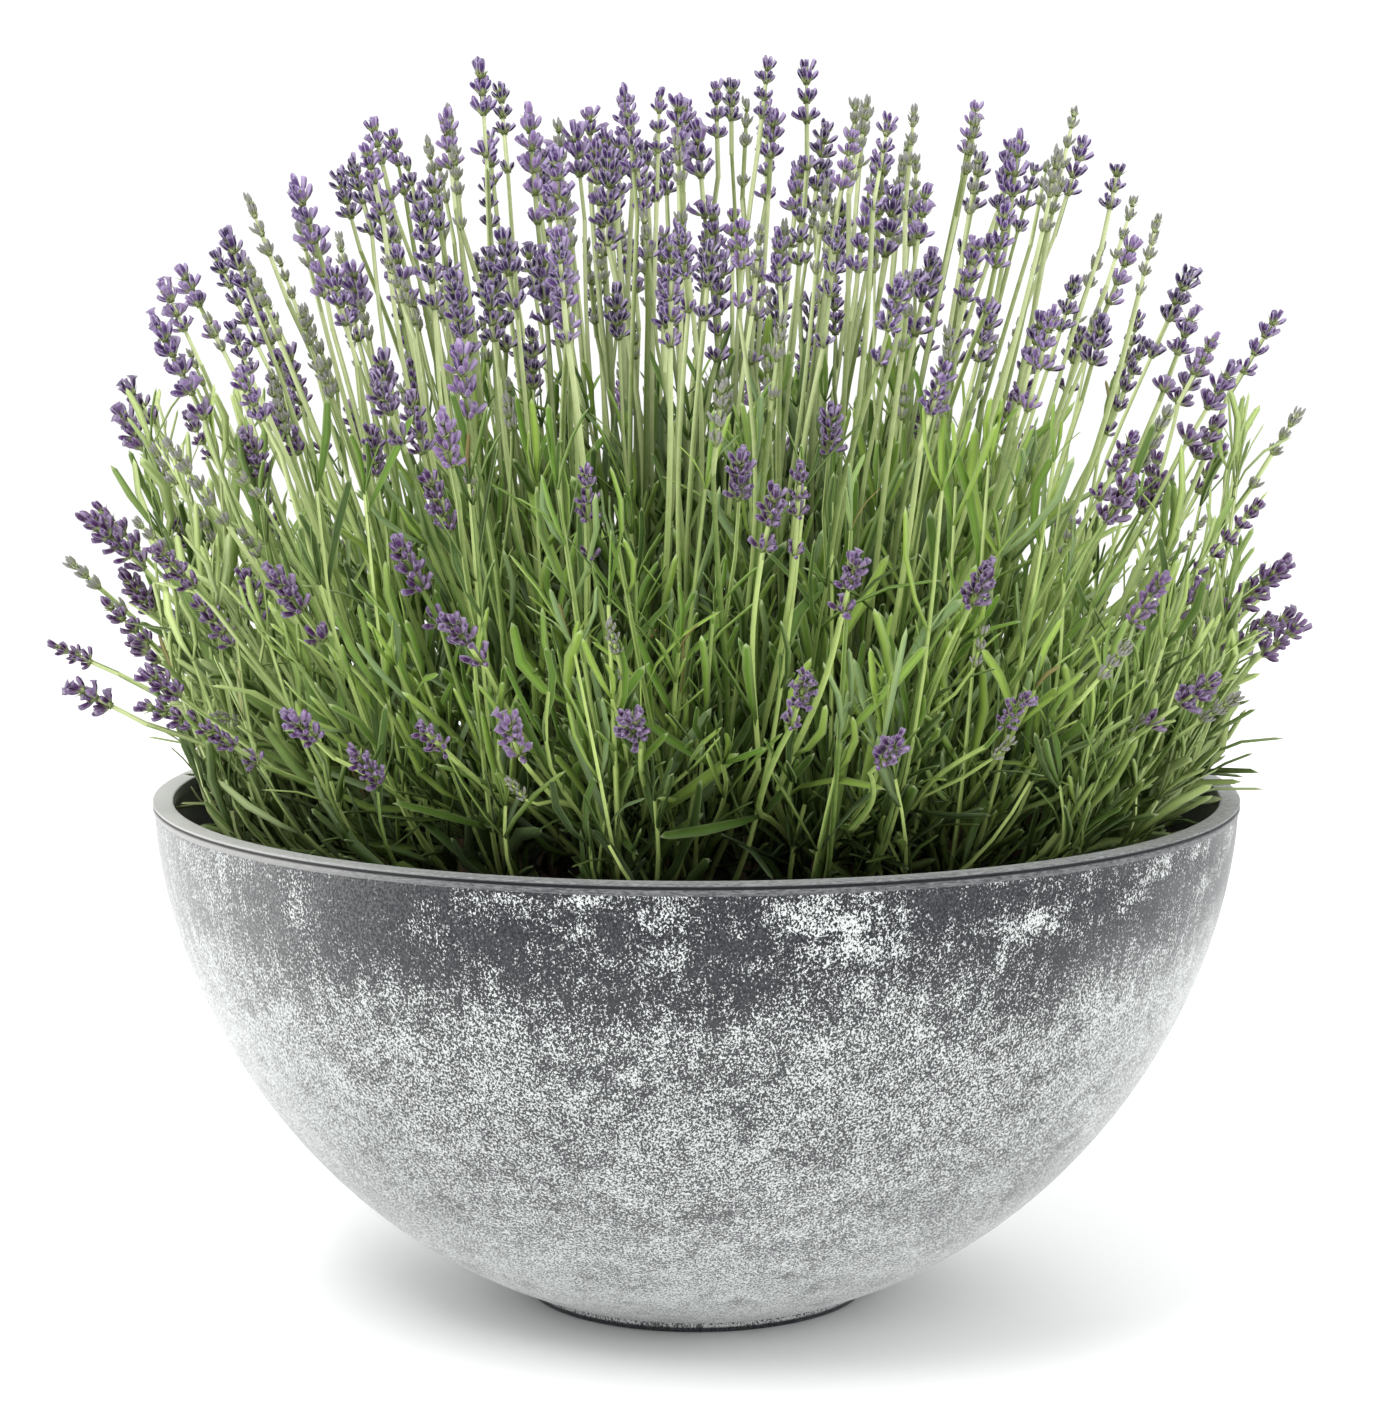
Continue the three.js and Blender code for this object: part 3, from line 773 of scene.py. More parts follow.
# %% Run a tree and keep the plain mesh
def carrier(name, points, edges, values):
    """Bare points, or chains of points, that carry values for a tree."""
    mesh = bpy.data.meshes.new(name)
    mesh.from_pydata(points, edges, [])
    for key, (kind, numbers) in values.items():
        stored_values = mesh.attributes.new(key, kind, "POINT")
        field = "vector" if kind == "FLOAT_VECTOR" else "value"
        flat = [x for row in numbers for x in row] if kind == "FLOAT_VECTOR" else numbers
        stored_values.data.foreach_set(field, flat)
    return mesh


def run_tree(name, tree, mesh, **inputs):
    """Evaluates a tree on a carrier and returns its result as a plain mesh."""
    holder = bpy.data.objects.new(name, mesh)
    bpy.context.scene.collection.objects.link(holder)
    modifier = holder.modifiers.new(tree.name, "NODES")
    modifier.node_group = tree
    for socket in tree.interface.items_tree:
        label = socket.name.replace(" ", "_")
        if socket.in_out == "INPUT" and label in inputs:
            modifier[socket.identifier] = inputs[label]
    depsgraph = bpy.context.evaluated_depsgraph_get()
    result = bpy.data.meshes.new_from_object(holder.evaluated_get(depsgraph), depsgraph=depsgraph)
    holder.modifiers.remove(modifier)
    bpy.data.objects.remove(holder)
    bpy.data.meshes.remove(mesh)
    return result


def joined(name, meshes):
    """One mesh from several, each with its own material."""
    parts = [bpy.data.objects.new(name, mesh) for mesh in meshes if len(mesh.polygons)]
    for part in parts:
        bpy.context.scene.collection.objects.link(part)
    with bpy.context.temp_override(active_object=parts[0], object=parts[0], selected_editable_objects=parts):
        bpy.ops.object.join()
    mesh = parts[0].data
    bpy.data.objects.remove(parts[0])
    mesh.name = name
    return mesh


print("tree tools ready")

# %% [markdown]
# ## Leaves
# A lavender leaf is long and narrow, with rolled margins, a sunk midrib and a blunt pale tip. It is
# green above and felted grey below. A flat strip would vanish edge-on, so each leaf is a thin closed
# body: four sections of four points and a tip. Five ways of bending are enough for the eye.

# %% Leaf shapes
# Along the blade: the share of its length and of its full width at each section. Round a section: the
# side, the lift and the paleness of each of its four points. Each bend: the arch and the sway.
LEAF_SECTIONS = ((0.0, 0.34), (0.26, 0.74), (0.62, 1.0), (0.93, 0.76))
LEAF_RIM = ((-1, 0.006, 1.0), (0, -0.004, 0.15), (1, 0.006, 1.0), (0, -0.017, 0.55))
LEAF_BENDS = {
    "leaf_1_straight": (0.02, 0.3),
    "leaf_2_arched": (0.16, -0.4),
    "leaf_3_curled": (0.4, 0.9),
    "leaf_4_swayed": (-0.06, 1.4),
    "leaf_5_inward": (-0.2, -0.8),
}


def add_shape(collection, name, points, faces, values):
    """A small closed shape, one unit long, with numbers stored on its points."""
    mesh = bpy.data.meshes.new(name)
    mesh.from_pydata(points, [], faces)
    for key, numbers in values.items():
        mesh.attributes.new(key, "FLOAT", "POINT").data.foreach_set("value", numbers)
    work = bmesh.new()
    work.from_mesh(mesh)
    bmesh.ops.recalc_face_normals(work, faces=work.faces)
    work.to_mesh(mesh)
    work.free()
    mesh.shade_smooth()
    collection.objects.link(bpy.data.objects.new(name, mesh))


def leaf_shape(collection, name, arch, sway):
    """A blade along Z, as wide as 1 across X at its broadest, that arches towards -Y."""
    points, faces, along, margin = [], [], [], []
    for share, width in LEAF_SECTIONS:
        back = -arch * share ** 2
        middle = sway * math.sin(share * math.pi)
        for side, lift, paleness in LEAF_RIM:
            points.append((middle + side * width / 2, back + lift, share))
            along.append(share)
            margin.append(paleness)
    points.append((sway * 0.1, -arch, 1.0))
    along.append(1.0)
    margin.append(0.9)
    last = 4 * (len(LEAF_SECTIONS) - 1)
    for k in range(0, last, 4):
        for i in range(4):
            after = (i + 1) % 4
            faces.append((k + i, k + after, k + 4 + after, k + 4 + i))
    faces += [(last + i, last + (i + 1) % 4, last + 4) for i in range(4)]
    faces.append((3, 2, 1, 0))
    add_shape(collection, name, points, faces, {"along": along, "margin": margin})


leaf_shapes = bpy.data.collections.new("leaf shapes")
for name, (arch, sway) in LEAF_BENDS.items():
    leaf_shape(leaf_shapes, name, arch, sway)
print("leaf shapes:", list(LEAF_BENDS))

# %% [markdown]
# A planting of this depth is dark in its heart and just over the soil, and paler at its two sides,
# where light passes through the thin growth. Lamps give part of that, and the finishes add the rest:
# two helpers say how far inside or how far out to the side a point of the plant lies.

# %% Shade inside the plant and light at its sides
SHADE_BOTTOM = 0.156
# A row of four reads: from, to, and what the range becomes at its two ends.
MIDDLE_SHADE = (0.06, 0.15, 1.0, 0.55)
HEART = (0, 0, 0.15)
HEART_SCALE = (6, 6, 4)
HEART_SHADE = (0.45, 0.95, 0.62, 0.0)
LIT_LEFT = (-0.09, -0.19, 0, 1.1)
LIT_RIGHT = (0.09, 0.19, 0, 0.66)


def depth_shade(tree, low_top, low_share):
    """How much growth inside the plant is darkened: most in its heart and just over the soil."""
    low = ramp(tree, axes(tree)["Z"], SHADE_BOTTOM, low_top, low_share, 0.0)
    low = times(tree, low, ramp(tree, to_side(tree), *MIDDLE_SHADE))
    return sums(tree, "MAXIMUM", low, ramp(tree, far_from(tree, HEART, HEART_SCALE), *HEART_SHADE))


def sunlit(tree):
    """How much paler the growth at the two sides is."""
    across = axes(tree)["X"]
    return sums(tree, "MAXIMUM", ramp(tree, across, *LIT_LEFT), ramp(tree, across, *LIT_RIGHT))


print("shade and light ready")

# %% [markdown]
# Leaves differ: fresh ones are yellow-green, older ones dark green or grey. Each leaf carries one
# number, its tint, and the finish picks its greens by that number. The margins and the tip are paler,
# a few short leaves are dry, and the colours are laid over each other one by one.

# %% Leaf finish
LEAF_GREENS = ((0.02, 0.06, 0.007), (0.112, 0.235, 0.022))
FRESH_LEAF = (0.32, 0.48, 0.075)
GREY_LEAF = (0.2, 0.3, 0.14)
LEAF_MOTTLE = (0.24, 0.37, 0.06)
LEAF_MARGIN = (0.42, 0.56, 0.2)
LEAF_TIP = (0.55, 0.64, 0.36)
DRY_LEAF = (0.24, 0.2, 0.07)
LIT_LEAF = (0.68, 0.79, 0.36)
PAINTED_LEAF_SHADE = (0.006, 0.015, 0.002)

leaf_finish, tree, shader = new_finish("leaf green", 0.56, Specular_IOR_Level=0.35)
tint = attribute(tree, "tint")
mottle = noise(tree, object_place(tree), 260, 3)
painted(tree, shader, layered(tree, blend(tree, ramp(tree, tint, 0.05, 0.4), *LEAF_GREENS), [
    (ramp(tree, tint, 0.4, 0.78), FRESH_LEAF),
    (ramp(tree, tint, 0.82, 0.95), GREY_LEAF),
    (times(tree, mottle, 0.3), LEAF_MOTTLE),
    (ramp(tree, attribute(tree, "margin"), 0.6, 1.0, 0, 0.62), LEAF_MARGIN),
    (ramp(tree, attribute(tree, "along"), 0.93, 1.0, 0, 0.7), LEAF_TIP),
    (ramp(tree, attribute(tree, "phase"), 0.4, 0.6), DRY_LEAF),
    # Painted light at the sides of the plant, and painted shade in its heart and just over the soil.
    (times(tree, sunlit(tree), ramp(tree, tint, 0.12, 0.65, 0.04, 0.74)), LIT_LEAF),
    (depth_shade(tree, 0.245, 0.92), PAINTED_LEAF_SHADE),
]))
bumped(tree, shader, mottle, FINE_BUMP, 0.4)
print("finish:", leaf_finish.name)

# %% [markdown]
# ## Flowers
# A head is a stack of whorls. In each, small tubular calyxes stand out round the stem: green at the
# foot, swelling to dark violet, with a pale rim or a folded bud at the mouth. Four forms cover the
# ages of a flower: a closed bud, an open calyx, a flower with its lips out, and a young green bud.

# %% Flower shapes
TUBE_SIDES = 5
BUD_BEND = 0.14
NOTCH = 0.6
# Each form: its stations from foot to mouth, the height of its tip and how far its lobes stand out.
FLOWERS = {
    "flower_1_bud": ([(0.14, 0.09, 0), (0.42, 0.16, 0), (0.72, 0.185, 0), (0.93, 0.12, 0.5)], 1.02, 0.0),
    "flower_2_calyx": ([(0.16, 0.09, 0), (0.5, 0.165, 0), (0.84, 0.185, 0.2), (1.0, 0.17, 0.9)], 0.86, 0.12),
    "flower_3_open": ([(0.2, 0.1, 0), (0.62, 0.165, 0), (0.84, 0.16, 0.4), (1.0, 0.27, 1)], 0.84, 0.35),
    "flower_4_young": ([(0.2, 0.09, 0), (0.5, 0.15, 0), (0.85, 0.09, 0.2)], 1.0, 0.0),
}
BRACT_POINTS = [(-0.3, 0, 0), (0.3, 0, 0), (0, -0.06, 0.3), (0, 0.05, 0.3), (0, 0.1, 1)]
BRACT_FACES = [(0, 1, 2), (1, 0, 3), (0, 2, 4), (2, 1, 4), (1, 3, 4), (3, 0, 4)]


def tube_shape(collection, name, stations, tip, lobes):
    """A closed tube along Z from (share, radius, rim) stations, bent a little, that ends in a tip."""
    points, along, rim, ridge = [(0, 0, 0)], [0.0], [0.0], [0.5]
    for share, radius, pale in stations:
        for i in range(TUBE_SIDES):
            ribbed = i % 2 == 0
            angle = 2 * math.pi * i / TUBE_SIDES
            reach = radius * (1 + lobes * pale * (1 if ribbed else -NOTCH))
            points.append((reach * math.cos(angle), reach * math.sin(angle) - BUD_BEND * share ** 2, share))
            along.append(share)
            rim.append(pale)
            ridge.append(float(ribbed))
    points.append((0, -BUD_BEND, tip))
    values = {"along": along + [1.0], "rim": rim + [0.0], "ridge": ridge + [0.5]}
    add_shape(collection, name, points, ring_faces(len(stations), TUBE_SIDES), values)


flower_shapes = bpy.data.collections.new("flower shapes")
for name, (stations, tip, lobes) in FLOWERS.items():
    tube_shape(flower_shapes, name, stations, tip, lobes)
bract_shapes = bpy.data.collections.new("bract shapes")
bract_heights = [float(point[2]) for point in BRACT_POINTS]
add_shape(bract_shapes, "bract", BRACT_POINTS, BRACT_FACES, {"along": bract_heights})
print("flower shapes:", list(FLOWERS))

# %% [markdown]
# Lavender is not one violet. The furrows of a calyx are almost black, its ribs are pale with down and
# carry a painted highlight, its foot is green and its mouth is pale, and a young head is grey-green.
# Heads low in the plant get a painted shade. Numbers stored on the four forms say where the ribs and
# the rim are, which is simpler than a painted map for every flower, and each head has a tint of its
# own.

# %% Flower finish
VIOLETS = ((0.011, 0.004, 0.034), (0.055, 0.018, 0.122))
PALE_VIOLET = (0.24, 0.15, 0.34)
RIB_HIGHLIGHT_VIOLET = (0.5, 0.41, 0.62)
DOWNY_VIOLET = (0.52, 0.45, 0.62)
LOW_HEAD_SHADE = (0.07, 0.006, 0.06)
YOUNG_GREYS = ((0.15, 0.19, 0.1), (0.34, 0.31, 0.32))
FLOWER_FOOT = (0.36, 0.41, 0.19)
FLOWER_RIM = (0.42, 0.35, 0.53)

flower_finish, tree, shader = new_finish("violet flower", 0.72, Sheen_Weight=0.38, Sheen_Roughness=0.3,
                                         Specular_IOR_Level=0.3)
tint = attribute(tree, "tint")
mottle = noise(tree, object_place(tree), 700, 3)
painted(tree, shader, layered(tree, blend(tree, ramp(tree, tint, 0.0, 0.6), *VIOLETS), [
    (ramp(tree, tint, 0.6, 1.0), PALE_VIOLET),
    # The ribs are pale with down, and they also carry a painted highlight.
    (ramp(tree, attribute(tree, "ridge"), 0.55, 1.0, 0, 0.78), RIB_HIGHLIGHT_VIOLET),
    (ramp(tree, mottle, 0.54, 0.7, 0, 0.5), DOWNY_VIOLET),
    # Painted shade: heads low in the plant are darker and a redder violet.
    (ramp(tree, axes(tree)["Z"], 0.35, 0.27, 0, 0.42), LOW_HEAD_SHADE),
    (ramp(tree, attribute(tree, "phase"), 0.25, 0.9), blend(tree, mottle, *YOUNG_GREYS)),
    (ramp(tree, attribute(tree, "along"), 0.5, 0.12), FLOWER_FOOT),
    (times(tree, attribute(tree, "rim"), 0.5), FLOWER_RIM),
]))
bumped(tree, shader, mottle, FINE_BUMP, 0.5)
print("finish:", flower_finish.name)

# %% [markdown]
# Stems and bracts share one kind of green. It differs from stem to stem, and from corner to corner as
# painted light and shade, so that a square stem shows a lit and a shaded side; it is paler towards the
# crown.

# %% Stem, bract and wood finishes
CROWN_BAND = (0.23, 0.36)
CROWN_GREENS = ((0.155, 0.205, 0.055), (0.65, 0.72, 0.4))
STEM_GREENS = ((0.08, 0.155, 0.02), (0.49, 0.62, 0.19))
BRACT_GREENS = ((0.18, 0.24, 0.07), (0.42, 0.46, 0.2))
LIT_STEM = (0.74, 0.82, 0.47)
PAINTED_STEM_SHADE = (0.012, 0.022, 0.006)
WOOD_BROWNS = ((0.05, 0.032, 0.018), (0.2, 0.14, 0.085))


def green_finish(name, greens):
    """A green between two, paler towards the crown, with painted light and shade on stems and plant."""
    finish, tree, shader = new_finish(name, 0.6, Specular_IOR_Level=0.35)
    streaks = noise(tree, object_place(tree), 220, 3, 0.6)
    corner, tint = attribute(tree, "corner"), attribute(tree, "tint")
    # The corner number paints a lit side and a shaded side on each stem.
    share = total(tree, -0.4, [(corner, 0.85), (tint, 0.5), (streaks, 0.5)])
    crown = ramp(tree, axes(tree)["Z"], *CROWN_BAND)
    dark, light = [blend(tree, crown, *pair) for pair in zip(greens, CROWN_GREENS)]
    lit = times(tree, sunlit(tree), ramp(tree, share, 0.3, 0.8, 0.08, 0.6))
    # Painted light at the sides of the plant, and painted shade in its heart and just over the soil.
    layers = [(lit, LIT_STEM), (depth_shade(tree, 0.195, 0.66), PAINTED_STEM_SHADE)]
    painted(tree, shader, layered(tree, blend(tree, share, dark, light), layers))
    bumped(tree, shader, streaks, FINE_BUMP, 0.6)
    return finish


stem_finish = green_finish("stem green", STEM_GREENS)
bract_finish = green_finish("bract green", BRACT_GREENS)
wood_finish, tree, shader = new_finish("woody foot", 0.9)
bark = noise(tree, stretched(tree, (1, 1, 0.2)), 500, 4, 0.65)
painted(tree, shader, blend(tree, bark, *WOOD_BROWNS))
bumped(tree, shader, bark, 0.0006)
print("finishes:", stem_finish.name, bract_finish.name, wood_finish.name)

# %% [markdown]
# ## Places for every part of a spray
# A list of places is gathered while the plan is walked. A place holds its point, the way it looks,
# which side is up, a size and a shape number. The way and the side make a turn, which is what the
# tree needs.

# %% Lists of places and of paths
class Places:
    """Points that will each get a small shape."""

    def __init__(self):
        self.points, self.turns, self.sizes = [], [], []
        self.shapes, self.tints, self.phases = [], [], []

    def add(self, point, way, side, size, shape, tint, phase=0.0):
        way = way.normalized()
        across = side.cross(way).normalized()
        self.points.append(point)
        self.turns.append(Matrix((across, way.cross(across), way)).transposed().to_euler())
        self.sizes.append(size)
        self.shapes.append(shape)
        self.tints.append(tint)
        self.phases.append(phase)

    def mesh(self, name, shapes, finish):
        carried = carrier(name, self.points, [], {
            "turn": ("FLOAT_VECTOR", self.turns),
            "size": ("FLOAT_VECTOR", self.sizes),
            "shape": ("INT", self.shapes),
            "tint": ("FLOAT", self.tints),
            "phase": ("FLOAT", self.phases),
        })
        return run_tree(name, place_tree, carried, Shapes=shapes, Finish=finish)


class Paths:
    """Chains of points that will each get a stem."""

    def __init__(self):
        self.points, self.edges = [], []
        self.widths, self.tilts, self.tints = [], [], []

    def add(self, points, widths, tint):
        first = len(self.points)
        self.points += points
        self.widths += widths
        self.tilts += [first * 0.7] * len(points)
        self.tints += [tint] * len(points)
        self.edges += [(k, k + 1) for k in range(first, first + len(points) - 1)]

    def mesh(self, name, finish, corners):
        carried = carrier(name, self.points, self.edges, {
            "width": ("FLOAT", self.widths),
            "tilt": ("FLOAT", self.tilts),
            "tint": ("FLOAT", self.tints),
        })
        return run_tree(name, sweep_tree, carried, Finish=finish, Corners=corners)


def around(way):
    """Two directions square to a way of growth."""
    side = way.cross(Vector((0, 0, 1)))
    side = side.normalized() if side.length > 1e-4 else Vector((1, 0, 0))
    return side, way.cross(side).normalized()


def outward(way, angle):
    side, other = around(way)
    return side * math.cos(angle) + other * math.sin(angle)


def level(angle, radius=1.0, height=0.0):
    """The point at an angle, a radius and a height round the upright axis."""
    return Vector((radius * math.cos(angle), radius * math.sin(angle), height))


print("lists ready")

# %% [markdown]
# The soil gets its loose parts now: crumbs of bark and earth, and dry brown twigs that have dropped
# from the plant. They go through the same two trees as the plant's own parts, and then join the bed.

# %% Crumbs and twigs on the soil
CRUMBS = 900
CRUMB_SIZES = (0.0014, 0.0046)
TWIGS = 150
TWIG_LENGTHS = (0.008, 0.026)
TWIG_WIDTHS = (0.0005, 0.0011)
LITTER_EDGE = 0.97
LITTER_LIFT = 0.0008
TWIG_CLEARANCE = 0.002


def crumb_shape(collection, name, chance):
    """A rough closed lump of twenty faces."""
    work = bmesh.new()
    bmesh.ops.create_icosphere(work, subdivisions=1, radius=0.5)
    for vertex in work.verts:
        vertex.co *= chance.between(0.7, 1.25)
    points = [tuple(vertex.co) for vertex in work.verts]
    faces = [[vertex.index for vertex in face.verts] for face in work.faces]
    work.free()
    add_shape(collection, name, points, faces, {})


def soil_place(chance):
    """A place on the soil; the places are spread evenly over it."""
    angle = chance.angle()
    radius = LITTER_EDGE * soil_radius * math.sqrt(chance.next())
    return level(angle, radius, SOIL_HEIGHT + LITTER_LIFT)


litter = Draws(31)
crumb_shapes = bpy.data.collections.new("crumb shapes")
for name in ("crumb_1_round", "crumb_2_long", "crumb_3_flat"):
    crumb_shape(crumb_shapes, name, litter)
crumb_places, twig_paths = Places(), Paths()
for _ in range(CRUMBS):
    way = Vector((litter.between(-1, 1), litter.between(-1, 1), litter.between(0.3, 1)))
    size = mix(*CRUMB_SIZES, litter.next() ** 2)
    sizes = (size, size * litter.between(0.6, 1), size * litter.between(0.6, 1.3))
    crumb_places.add(soil_place(litter), way, Vector((1, 0, 0.1)), sizes, int(litter.next() * 3), 0.5)
for _ in range(TWIGS):
    start = soil_place(litter)
    angle = litter.angle()
    length = litter.between(*TWIG_LENGTHS)
    thick = litter.between(*TWIG_WIDTHS)
    way = level(angle, 1, litter.between(0.0, 0.25)) * length
    bent = Vector((litter.between(-1, 1), litter.between(-1, 1), 0.3)) * length * 0.08
    end = start + way
    if math.hypot(end.x, end.y) < soil_radius - TWIG_CLEARANCE:
        twig_paths.add([start, start + way * 0.5 + bent, end], [thick, thick, thick * 0.7], litter.next())
soil_mesh = joined("soil_bed", [
    soil_mesh,
    crumb_places.mesh("crumbs", crumb_shapes, soil_finish),
    twig_paths.mesh("twigs", wood_finish, 5),
])
placed_piece("soil_bed", soil_mesh, "soil")
print("crumbs:", len(crumb_places.points), "faces of the soil:", len(soil_mesh.polygons))

# %% [markdown]
# A flower stem rises from the woody foot, spreads to its own place in the plan, and bends a little
# off the rule so that no two stems run quite alike. Its two ends stay where the model has them.

# %% Stems
STEM_POINTS = 16
STEM_WIDE = 0.00112
STEM_NARROW = 0.00084
WANDER = 0.006


def planned(spray, shoot, t):
    """A shoot's place in the plan: at the foot with its spray, further up at its own place."""
    if t < FORK_HEIGHT:
        share = SPREAD_START * max(t, 0) / FORK_HEIGHT
    else:
        share = mix(SPREAD_START, 1, min((t - FORK_HEIGHT) / (spray["node"] - FORK_HEIGHT), 1))
    return mix(spray["u"], shoot["u"], share), mix(spray["v"], shoot["v"], share)


def shoot_path(spray, shoot, length, points, chance, wander, lean_limit=LEAN_LIMIT):
    """Points along a shoot from the soil to a length, with a slow wander of its own."""
    bend_way, sway_way = level(chance.angle()), level(chance.angle())
    path = []
    for i in range(points):
        share = i / (points - 1)
        t = length * share
        bend = wander * math.sin(share * math.pi)
        sway = wander * 0.5 * math.sin(share * 2 * math.pi)
        point = grown(*planned(spray, shoot, t), t, lean_limit)
        path.append(point + bend_way * bend + sway_way * sway)
    return path


def head_span(spray, shoot):
    """The lengths at which a flower head starts and ends."""
    head = HEAD_LENGTH + HEAD_EXTRA * shoot["bloom"]
    shortfall = SHORTFALL * shoot["vigour"] * (1 - EDGE_FULLNESS * shoot["place"] ** 4)
    tip = max(full_length(shoot["u"], shoot["v"]) - shortfall, spray["node"] + NODE_TO_HEAD + head)
    return tip - head, tip


def path_place(path, share):
    """The point at a share of a path's length, and the way the path runs there."""
    position = share * (len(path) - 1)
    k = min(int(position), len(path) - 2)
    return path[k].lerp(path[k + 1], position - k), (path[k + 1] - path[k]).normalized()


print("stem width", 2 * STEM_WIDE, "to", 2 * STEM_NARROW)

# %% [markdown]
# A head is built whorl by whorl. The lowest whorl often stands apart from the rest, and the buds
# close in towards the top. Some heads are young and still green, some are in full flower. Late side
# heads, smaller and on thin stems of their own, are most frequent at the edge and on the left.

# %% Flower heads
BUD, CALYX, OPEN_LIPS, YOUNG_BUD = range(4)
# Each whorl of a head: its place along the head, its number of florets and their angle in degrees.
HEAD_FORMS = (
    ((0.0, 5, 46), (0.42, 8, 46), (0.6, 8, 42), (0.77, 7, 32), (0.86, 4, 14)),
    ((0.3, 7, 48), (0.5, 9, 44), (0.69, 8, 38), (0.83, 6, 22)),
    ((0.46, 8, 48), (0.65, 8, 40), (0.82, 6, 26)),
    ((0.0, 6, 46), (0.24, 8, 46), (0.43, 9, 46), (0.61, 8, 42), (0.76, 7, 32), (0.86, 4, 14)),
    ((0.12, 6, 48), (0.5, 9, 44), (0.68, 8, 38), (0.83, 5, 20)),
    ((0.42, 8, 48), (0.6, 8, 42), (0.77, 7, 32), (0.87, 4, 12)),
)
FLOWER_LENGTH = 0.005
YOUNG_SHARE = 0.26
OPEN_SHARE = 0.16
OPEN_CHANCE = 0.3
CALYX_CHANCE = 0.45
HEAD_TILT = 0.003
WHORL_TURN = 2.4
TIERS = (-13, 14)
YOUNG_SLIMNESS = 0.6
YOUNG_SIZE = 0.8
BRACTS = 4
BRACT_LEAN = 0.95
BRACT_SIZE = 0.0042
SMALL_BRACT_SIZE = 0.0028


def floret_shape(young, opened, draw):
    if young:
        return YOUNG_BUD
    if opened and draw < OPEN_CHANCE:
        return OPEN_LIPS
    return CALYX if draw < CALYX_CHANCE else BUD


def add_whorls(base, tip, form, scale, age, tint, flowers, bracts, chance):
    """Florets and bracts between a head's base and its tip."""
    way = (tip - base).normalized()
    young = age < YOUNG_SHARE
    slim = YOUNG_SLIMNESS if young else 1.0
    bract = BRACT_SIZE if scale > BRACT_SIZE and not young else SMALL_BRACT_SIZE
    turn = chance.angle()
    for share, count, angle in form:
        turn += WHORL_TURN
        centre = base.lerp(tip, share)
        for k in range(count):
            out = outward(way, turn + 2 * math.pi * k / count + chance.between(-0.25, 0.25))
            lean = math.radians((angle + TIERS[k % 2]) * slim + chance.between(-10, 10))
            direction = way * math.cos(lean) + out * math.sin(lean)
            length = scale * chance.between(0.84, 1.1)
            shape = floret_shape(young, age > 1 - OPEN_SHARE, chance.next())
            colour = tint + chance.between(-0.22, 0.22) + (0.35 if shape == OPEN_LIPS else 0)
            root = centre + out * 0.0007 + way * chance.between(-0.0006, 0.0006)
            flowers.add(root, direction, out, [length] * 3, shape, min(max(colour, 0), 1), float(young))
        for k in range(BRACTS):
            out = outward(way, turn + math.pi / 2 * k)
            direction = way * math.cos(BRACT_LEAN) + out * math.sin(BRACT_LEAN)
            bracts.add(centre - way * 0.0008, direction, way, [bract] * 3, 0, chance.next())


def add_head(spray, shoot, flowers, bracts, paths, chance, stem_tint):
    """The head of one flowering shoot, and the thin stem inside it."""
    base, tip = [grown(shoot["u"], shoot["v"], t) for t in head_span(spray, shoot)]
    for side in around((tip - base).normalized()):
        tip = tip + side * chance.between(-HEAD_TILT, HEAD_TILT)
    inner_stem = [base.lerp(tip, share) for share in (-0.02, 0.3, 0.6, 0.9)]
    paths.add(inner_stem, [STEM_NARROW, 0.0008, 0.0007, 0.0004], stem_tint)
    age = chance.next()
    scale = FLOWER_LENGTH * chance.between(0.78, 1.2) * (YOUNG_SIZE if age < YOUNG_SHARE else 1.0)
    tint = mix(0.0, 0.95, chance.next() ** 1.3)
    form = HEAD_FORMS[int(chance.next() * len(HEAD_FORMS))]
    add_whorls(base, tip, form, scale, age, tint, flowers, bracts, chance)


print("a head has", sum(count for _, count, _ in HEAD_FORMS[0]), "florets or more")

# %% Side heads
SIDE_SHARES = (0.16, 0.46)
SIDE_START = 0.3
SIDE_FACTORS = {"left": 1.8, "middle": 1.0, "right": 0.6}
SIDE_YOUNG_SHARE = 0.5
SIDE_FORK = (0.5, 0.72)
SIDE_BASE = (0.8, 0.93)
SIDE_REACH = (0.006, 0.012)
SIDE_FORM = ((0.05, 7, 48), (0.32, 9, 46), (0.6, 8, 40), (0.85, 5, 20))
SIDE_YOUNG_FORM = ((0.1, 6, 42), (0.5, 7, 38), (0.85, 4, 18))
# Each kind: the age, then the ranges of the head's length and of its florets' size, and its whorls.
SIDE_FLOWERING = (0.5, (0.013, 0.021), (0.85, 1.08), SIDE_FORM)
SIDE_YOUNG = (0.0, (0.009, 0.015), (0.66, 0.8), SIDE_YOUNG_FORM)


def side_of(across, start):
    """Whether a place lies to the left, in the middle or to the right."""
    if abs(across) <= start:
        return "middle"
    return "right" if across > 0 else "left"


def side_share(spray):
    """How likely a stem is to carry a side head: more at the edge, most on the left."""
    return mix(*SIDE_SHARES, spray["place"]) * SIDE_FACTORS[side_of(spray["u"], SIDE_START)]


